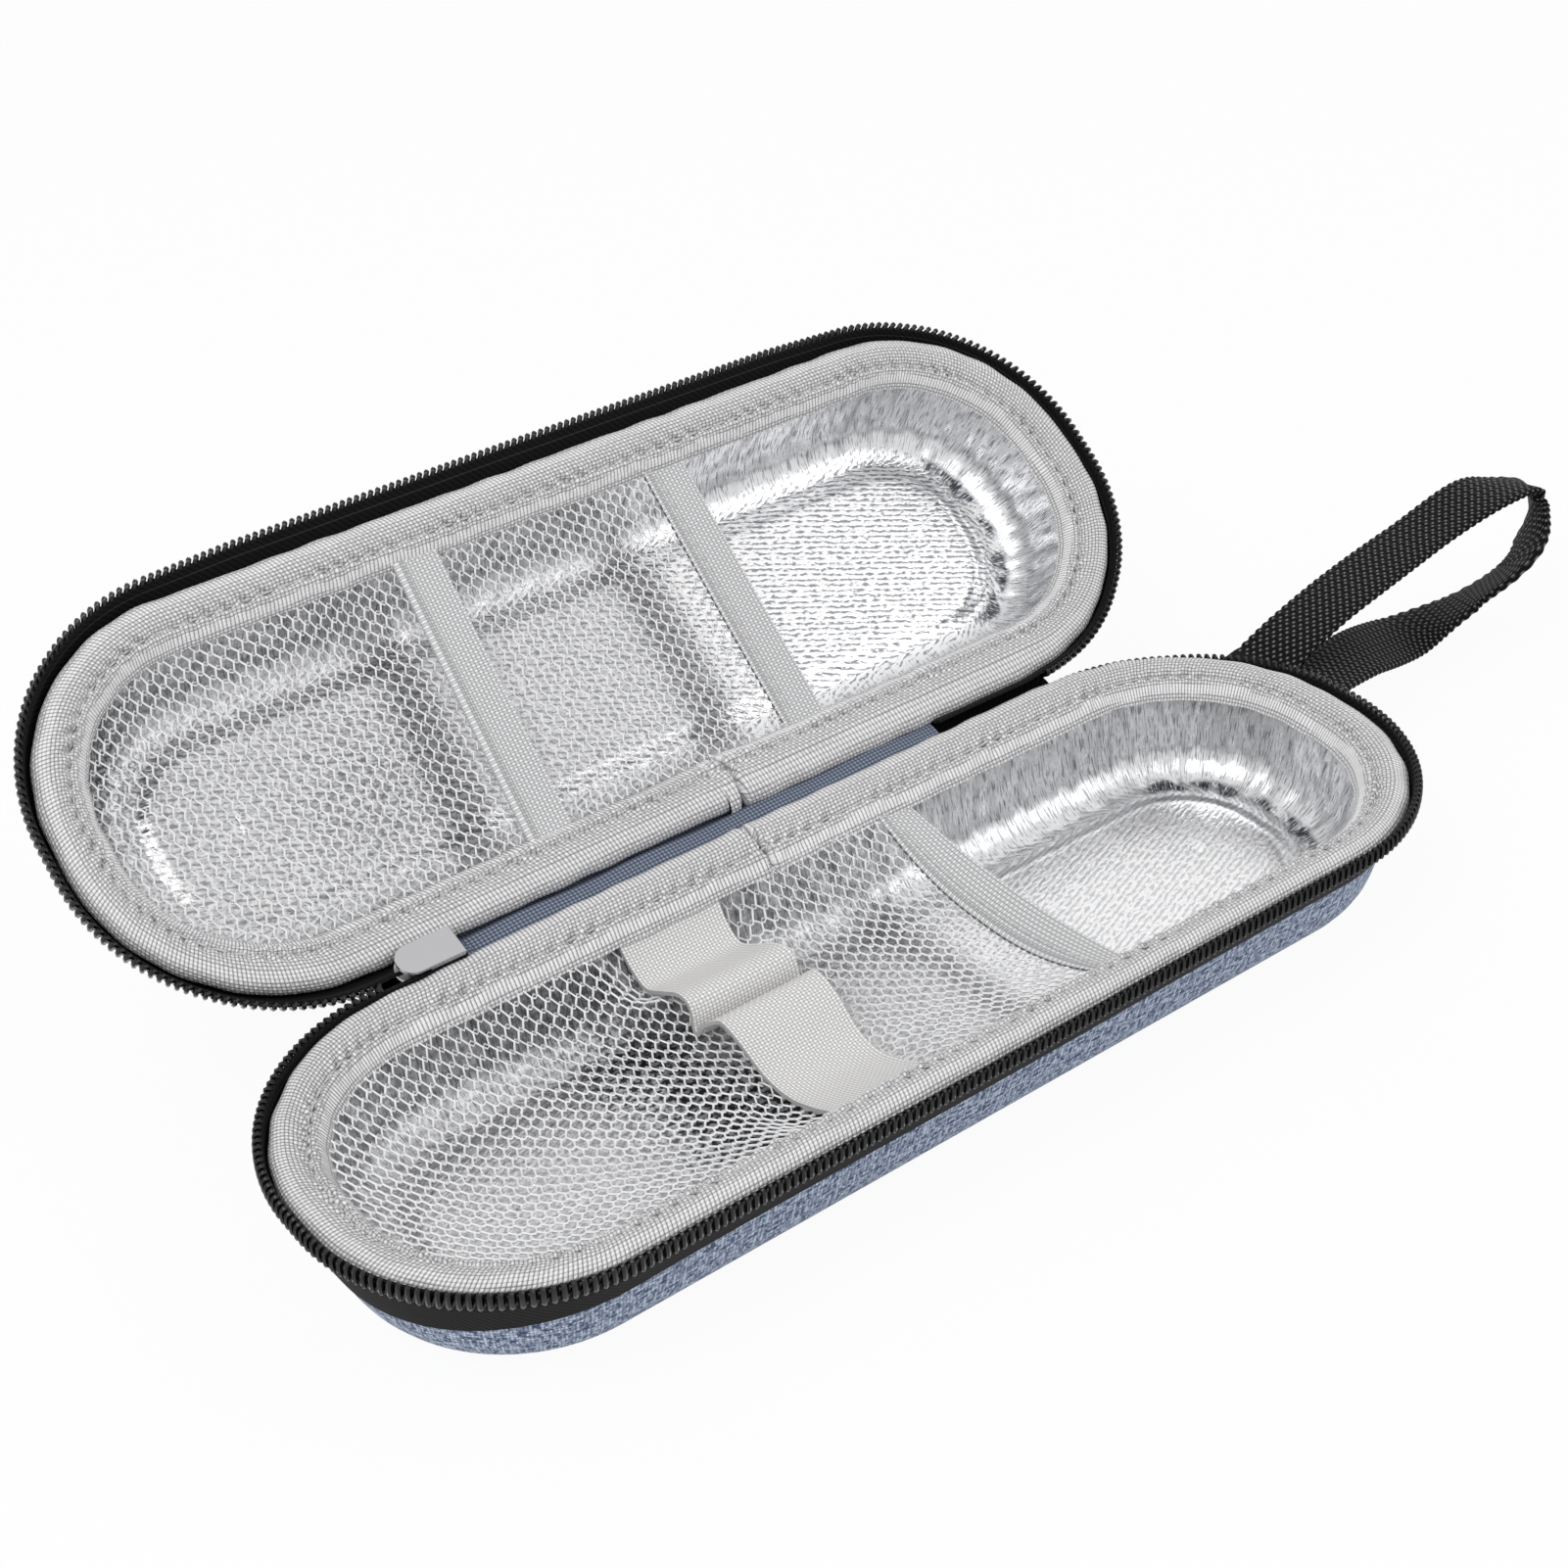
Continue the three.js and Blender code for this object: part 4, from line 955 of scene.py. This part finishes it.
# %% [markdown]
# ## The nets
# A picture with holes would look flat from the side, so the nets are real strands. One eight-sided
# hole is repeated by three arrays, which weld it to its neighbours and leave a thin slit above and
# below each. The grid is made a little uneven, as a knitted net is. Cells outside the pocket are
# deleted, the rest is let down to the net's depth, and a wireframe turns each edge to a strand.

# %% Nets
CELL_X, CELL_Y = 3.0, 2.53
STRAND = 0.42
NET_LEFT, NET_FRONT, NET_ACROSS = -93.0, -27.5, 53.5
HOLE = [(1.1, 0), (0.4, 1.265), (0, 0.92), (-0.4, 1.265)]
HOLE += [(-x, -y) for x, y in HOLE]


def net_cells(name, low, high):
    """One hole, repeated as far as a net reaches"""
    bpy.ops.object.select_all(action="DESELECT")
    bpy.ops.mesh.primitive_circle_add(vertices=8, fill_type="NGON")
    piece = bpy.context.object
    piece.name = piece.data.name = name
    for corner, (x, y) in zip(piece.data.vertices, HOLE):
        corner.co = (x, y, 0)
    steps = [((CELL_X, 0), int((high - low) / CELL_X) + 2), ((CELL_X / 2, CELL_Y / 2), 2),
             ((0, CELL_Y), int(56 / CELL_Y) + 1)]
    for offset, count in steps:
        copies = piece.modifiers.new("copies", "ARRAY")
        copies.count = count
        copies.use_relative_offset = False
        copies.use_constant_offset = True
        copies.constant_offset_displace = (*offset, 0)
        copies.use_merge_vertices = True
        copies.merge_threshold = 0.05
        bpy.ops.object.modifier_apply(modifier=copies.name)
    return piece


def honeycomb(name, low_x, high_x, depth_of):
    """A net between two places along the tray"""
    low = max(low_x, NET_LEFT)
    piece = net_cells(name, low, high_x)
    x, y = read(piece.data.vertices, "co", 3)[:, :2].T
    x, y = x + low, y + NET_FRONT
    x += 0.28 * np.sin(y / 4.1 + x / 9) + 0.1 * np.sin(x * 2.3 + y * 1.7)
    y += 0.24 * np.sin(x / 5.3) + 0.1 * np.sin(x * 1.9 - y * 2.7)
    outside = (past_spine(x, y) > NET_REACH + 1.3) | (x > high_x) | (x < low_x)
    bpy.ops.object.mode_set(mode="EDIT")
    bpy.ops.mesh.select_all(action="DESELECT")
    bpy.ops.object.mode_set(mode="OBJECT")
    places = np.stack([x, y, -depth_of(x, y)], 1) * MM
    piece.data.vertices.foreach_set("co", places.astype(np.float32).ravel())
    piece.data.vertices.foreach_set("select", outside)
    piece.data.update()
    bpy.ops.object.mode_set(mode="EDIT")
    bpy.ops.mesh.delete(type="VERT")
    bpy.ops.mesh.select_all(action="SELECT")
    bpy.ops.mesh.normals_make_consistent(inside=False)
    bpy.ops.object.mode_set(mode="OBJECT")
    strands = piece.modifiers.new("strands", "WIREFRAME")
    strands.thickness = STRAND * MM
    strands.use_even_offset = False
    bpy.ops.object.modifier_apply(modifier=strands.name)
    bpy.ops.object.shade_smooth_by_angle(angle=math.radians(70))
    return piece


def hang_net(name, half, low_x, high_x, depth_of, node):
    """A net in its half, in place of its CAD node"""
    piece = honeycomb(name, low_x, high_x, depth_of)
    settle(piece, half, net_pale, node)


hang_net("base_net", "base", -200, 21.6, base_net_depth, "base_pocket_net")
hang_net("lid_left_net", "lid", -200, -26.4, lid_net_depth, "lid_left_pocket_net")
hang_net("lid_middle_net", "lid", -27.0, 21.0, lid_net_depth, "lid_middle_pocket_net")

# %% [markdown]
# ## Bands
# The bands are flat tapes whose ends go under the strip, so they are laid like the other cloth. The
# base's band hangs with the net on its left side and stays nearly straight on its right, so it
# twists a little. A low ridge along the left side is the hem in which the net's edge is sewn.

# %% Bands
BAND_END = 27.2
BASE_BAND_LEFT = 20.0


def base_band_depth(c, y):
    """Depth of the base's band at a share c of its width"""
    left = 4.4 + 6.3 * hang(BASE_BAND_LEFT, y)
    right = 5.0 + 2.4 * (1 - (y / BAND_END) ** 2)
    return left + (right - left) * c**0.8 - 0.2


def lid_band_depth(c, y):
    """The lid's bands are nearly flat"""
    return 4.6 + 0.2 * (1 - (y / BAND_END) ** 2)


def cross_band(name, half, left, slant, width, depth_of, node):
    """A band across the case, from its left edge at x = left + slant * y"""
    y = np.linspace(-BAND_END, BAND_END, 110)[:, None]
    c = np.array([0, 0.02, 0.05, 0.12, 0.2, 0.3, 0.45, 0.6, 0.75, 0.88, 0.96, 1.0])[None, :]
    hem = 0.35 * np.clip(1 - np.abs(c - 0.11) / 0.11, 0, 1) ** 0.4
    places = rows_of(left + slant * y + width * c, y, hem - depth_of(c, y))
    piece = close_up(lay_cloth(name, places, rows_of(width * c, y + BAND_END)), 0.75, 1.0)
    settle(piece, half, band_cloth, node)


bands = {  # half, left edge, its slant, width, depth, CAD node
    "base_band": ("base", BASE_BAND_LEFT, 0.0, 6.8, base_band_depth, "base_pocket_edge_band"),
    "lid_left_band": ("lid", -30.4, -0.075, 7.6, lid_band_depth, "lid_left_edge_band"),
    "lid_middle_band": ("lid", 19.5, -0.045, 8.2, lid_band_depth, "lid_middle_edge_band"),
}
for name, band in bands.items():
    cross_band(name, *band)

# %% [markdown]
# ## The pen elastic
# The elastic is sewn in at both sides and tacked down once, which makes two loops with a deep
# crease between them. Its line across the case is the one that pulls the net down. The front end
# is pulled a little to the right, and the edges curl up, as those of a stretched knit do.

# %% Pen elastic
ELASTIC_WIDTH = 19.2
c = np.linspace(0, 1, 26)[None, :]
y, depth = elastic_path[:, :1], elastic_path[:, 1:]
waist = 0.5 * np.sin(math.pi * elastic_walked / elastic_walked[-1] * 3)[:, None]
front = np.clip((4.5 - y) / 3, 0, 1)
left = ELASTIC_LEFT + waist + 2.1 * front
x = left + (ELASTIC_RIGHT - waist + 0.5 * front - left) * c
curl = 0.3 * np.abs(2 * c - 1) ** 8
cloth = rows_of(ELASTIC_WIDTH * c, elastic_walked[:, None])
elastic = close_up(lay_cloth("pen_elastic", rows_of(x, y, curl - depth), cloth), 0.6, 0.0)
settle(elastic, "base", elastic_knit, "base_pen_elastic")
print("pen elastic, flat:", ELASTIC_WIDTH, "by", round(float(elastic_walked[-1]), 1), "mm")

# %% [markdown]
# ## Stitches
# A seam could be a dashed line in a material, but real stitches stand up and catch the light. One
# stitch is a short thread with thin ends. It is repeated along each seam, and hundreds of them are
# one mesh, each with a few dozen faces.

# %% Stitches
thread_grey, tree, shader = new_finish("grey thread")
fill(tree, shader, {"Base Color": paint(206, 205, 206), "Roughness": 0.6})
dark_thread, tree, shader = new_finish("dark thread")
fill(tree, shader, {"Base Color": paint(84, 84, 86), "Roughness": 0.7})
THREAD_WIDE, THREAD_HIGH = 0.19, 0.15


def one_stitch(length):
    """Corners and faces of one stitch that runs along x"""
    bpy.ops.object.select_all(action="DESELECT")
    bpy.ops.mesh.primitive_uv_sphere_add(segments=6, ring_count=5, radius=1)
    one = bpy.context.object
    shape = read(one.data.vertices, "co", 3)[:, [2, 0, 1]] * (length / 2, THREAD_WIDE, THREAD_HIGH)
    faces = [list(face.vertices) for face in one.data.polygons]
    bpy.data.objects.remove(one)
    return shape, faces


def sew(name, half, seam, along, length, finish=thread_grey):
    """Stitches on a seam given as points, at distances along it"""
    shape, faces = one_stitch(length)
    walked = walk(seam)
    centre, before, after = [
        np.stack([np.interp(along + step, walked, k) for k in seam.T], 1)
        for step in (0, -0.5, 0.5)
    ]
    ahead = unit(after - before)
    side = unit(np.cross(ahead, (0, 0, 1)))
    points = centre[:, None] + sum(
        shape[None, :, i : i + 1] * way[:, None]
        for i, way in enumerate((ahead, side, np.cross(side, ahead)))
    )
    every = [[i * len(shape) + v for v in face] for i in range(len(along)) for face in faces]
    mesh = bpy.data.meshes.new(name)
    mesh.from_pydata((points.reshape(-1, 3) * MM).tolist(), [], every)
    piece = bpy.data.objects.new(name, mesh)
    bpy.context.scene.collection.objects.link(piece)
    settle(close_up(piece), half, finish)


groove_x, groove_y = rim_place(np.linspace(0, RIM_TOTAL, 900), GROOVE)
groove = np.stack([groove_x, groove_y, 0 * groove_x - 1.92], 1)
groove_length = float(walk(groove)[-1])
marks = np.arange(2.0, groove_length - 1, groove_length / PLEATS)
for half in ("base", "lid"):
    sew(half + "_rim_stitches", half, groove, marks, 2.3)

# %% [markdown]
# ## Stitches on the bands
# Each band has two rows of thread: pale stitches along the hem, and a row of dark stitches on the
# edge, shorter and closer, that paints the shade under the band's edge. The same depth functions
# that shaped the bands put both rows on the cloth, so a change to a band moves its stitches too.

# %% Stitches on the bands
HEM, HEM_SHARE = 1.9, 1.9 / 6.6
y = np.linspace(-25.6, 25.6, 60)
for name, (half, left, slant, _, depth_of, _) in bands.items():
    edge_x = left + slant * y
    hem = np.stack([edge_x + HEM, y, 0.82 - depth_of(HEM_SHARE, y)], 1)
    sew(name + "_stitches", half, hem, np.arange(1.5, 50, 2.7), 1.9)
    # Painted shade: a row of dark stitches along the band's left edge.
    edge = np.stack([edge_x - 0.05, y, 0.1 - depth_of(0.0, y)], 1)
    sew(name + "_edge_shade", half, edge, np.arange(0.8, 50.5, 1.45), 1.1,
        dark_thread)

# %% [markdown]
# ## The wrist strap
# One webbing leaves the case at the back of its right end, stands out in a long loop and comes back
# under itself. Cloth simulation would let it fall, but stiff webbing holds its twist, so a section
# is laid along a fitted line and turned a little at each stop. The woven edges are slightly
# toothed, so the edge points of the section step in and out along the way.

# %% Wrist strap
STRAP_WIDE, TOOTH_PITCH = 12, 1.9
HEADING = math.radians(11)  # the way in which the loop leaves the corner
strap_stops = [  # out from the corner, aside, up and turn of the width
    (33.0, 9.3, -3.9, 0.0), (35.6, 9.3, -3.7, 0.0), (43.5, 8.6, -1.0, -0.3),
    (56.0, 7.7, 1.2, -0.6), (77.3, 6.4, 2.8, -0.8), (97.1, 3.9, 5.0, -0.1),
    (109.2, 2.3, 2.8, 0.35), (113.1, 0.1, -0.1, -0.8), (109.6, -2.3, -3.6, -1.05),
    (97.5, -6.2, -5.8, -1.2), (89.4, -0.6, -12.8, -1.25), (77.8, 4.6, -16.2, -0.68),
    (55.5, 2.7, -9.4, -0.5), (35.6, 0.9, -5.2, 0.0), (33.0, 0.9, -5.3, 0.0),
]
out, aside, up, turned = smooth_path(strap_stops, 760)[0].T
centre = np.stack([
    HALF_STRAIGHT + out * math.cos(HEADING) - aside * math.sin(HEADING),
    HALF_END + out * math.sin(HEADING) + aside * math.cos(HEADING),
    HALF_DEPTH + up,
], 1)
strap_walked = walk(centre)
ahead = unit(np.gradient(centre, axis=0))
facing = HEADING + turned
wide = np.stack([-np.sin(facing), np.cos(facing), 0 * facing], 1)
wide = unit(wide - np.sum(wide * ahead, axis=1, keepdims=True) * ahead)
thick = np.cross(ahead, wide)
half_section = [(-6, -0.3), (-5.75, -0.58), (-3, -0.6), (0, -0.62), (3, -0.6), (5.75, -0.58),
                (6, -0.3)]
section = half_section + [(-across, -lift) for across, lift in half_section]
section = np.array(section + section[:1])
teeth = np.sin(strap_walked * 2 * math.pi / TOOTH_PITCH)
across, lift = section[:, :1], section[:, 1:] * (1 + 0.12 * teeth)
across = across * np.where(np.abs(across) > 5, 1 + 0.022 * teeth, 1)
places = centre + across[..., None] * wide + lift[..., None] * thick
cloth = rows_of(strap_walked[None, :], walk(section)[:, None])
strap = close_up(lay_cloth("wrist_strap_webbing", places, cloth))
dress(strap, webbing)
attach(strap, "wrist_loop")
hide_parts("wrist_strap")
print("strap length:", round(float(strap_walked[-1]), 1), "mm")

# %% [markdown]
# ## Camera
# The camera stands where the photograph was taken: above the front left corner, with a lens that
# was solved from the outlines of both rims. Turning a camera by hand until it fits takes long, so
# its place, the way it looks and its focal length in pixels are given as numbers.

# %% Camera
PICTURE_SIZE, FOCAL_LENGTH = 1601, 2626.7  # both in pixels
PLACE = (-0.1913, -0.2439, 0.2655)
LOOK, UP = Vector((0.477, 0.668, -0.571)).normalized(), Vector((0.368, 0.437, 0.82))
right = LOOK.cross(UP).normalized()
camera = bpy.data.objects.new("camera", bpy.data.cameras.new("camera"))
bpy.context.scene.collection.objects.link(camera)
turn = Matrix((right, right.cross(LOOK), -LOOK)).transposed().to_4x4()
camera.matrix_world = Matrix.Translation(PLACE) @ turn
camera.data.sensor_width = 36.0
camera.data.lens = camera.data.sensor_width * FOCAL_LENGTH / PICTURE_SIZE
camera.data.clip_start, camera.data.clip_end = 0.01, 20
bpy.context.scene.camera = camera
print("lens", round(camera.data.lens, 2), "mm")

# %% [markdown]
# ## Light
# The world is plain white for the camera and for mirrors, because the foil and the coil show what
# is around them. For the light that it gives it is a little softer, so that two large soft lamps
# can shape the folds without making pale cloth too bright.

# %% World and lamps
scene = bpy.context.scene
scene.view_settings.view_transform = "Standard"


def seen_directly(tree):
    """1 for rays from the camera, from mirrors and through glass, else 0"""
    rays = add(tree, "ShaderNodeLightPath").outputs
    seen = calc(tree, "MAXIMUM", rays["Is Camera Ray"], rays["Is Glossy Ray"])
    return calc(tree, "MAXIMUM", seen, rays["Is Transmission Ray"])


WORLD_LIGHT = 0.64
CASE_MIDDLE = Vector((0, 0.04, 0.02))
world = bpy.data.worlds.new("white studio")
scene.world = world
world.use_nodes = True
tree = world.node_tree
strength = calc(tree, "MULTIPLY_ADD", seen_directly(tree), 1 - WORLD_LIGHT, WORLD_LIGHT)
fill(tree, tree.nodes["Background"], {"Color": (1, 1, 1, 1), "Strength": strength})


def softbox(name, place, size, power):
    """A square lamp that faces the case"""
    bpy.ops.object.light_add(type="AREA", location=place)
    lamp = bpy.context.object
    lamp.name = name
    lamp.data.size = size
    lamp.data.energy = power
    aim = CASE_MIDDLE - Vector(place)
    lamp.rotation_euler = aim.to_track_quat("-Z", "Y").to_euler()
    print(name, "stands", round(aim.length, 2), "m away")


softbox("key softbox", (-0.55, -0.15, 0.85), 0.5, 3.4)
softbox("fill softbox", (0.75, -0.6, 0.7), 0.6, 1.6)

# %% [markdown]
# ## Floor
# A white floor under white light still renders grey towards the edges. Its own glow, which only the
# camera and mirrors see, lifts it to the white of the world, and the small rest of its plain colour
# keeps the soft shadow under the case.

# %% Floor
GLOW = 0.94
bpy.ops.mesh.primitive_plane_add(size=8, location=(0, 0, -0.0002))
floor = bpy.context.object
floor.name = "floor"
floor_white, tree, shader = new_finish("white sweep")
fill(tree, shader, {"Base Color": (0.92, 0.92, 0.92, 1), "Roughness": 1.0,
                    "Specular IOR Level": 0.0})
glow = add(tree, "ShaderNodeEmission", {"Color": (1, 1, 1, 1), "Strength": 1.0})
share = calc(tree, "MULTIPLY", seen_directly(tree), GLOW)
both = add(tree, "ShaderNodeMixShader", {0: share, 1: shader.outputs[0], 2: glow.outputs[0]})
tree.links.new(both.outputs[0], tree.nodes["Material Output"].inputs["Surface"])
floor.data.materials.append(floor_white)
print("floor:", [round(size, 1) for size in floor.dimensions], "m")
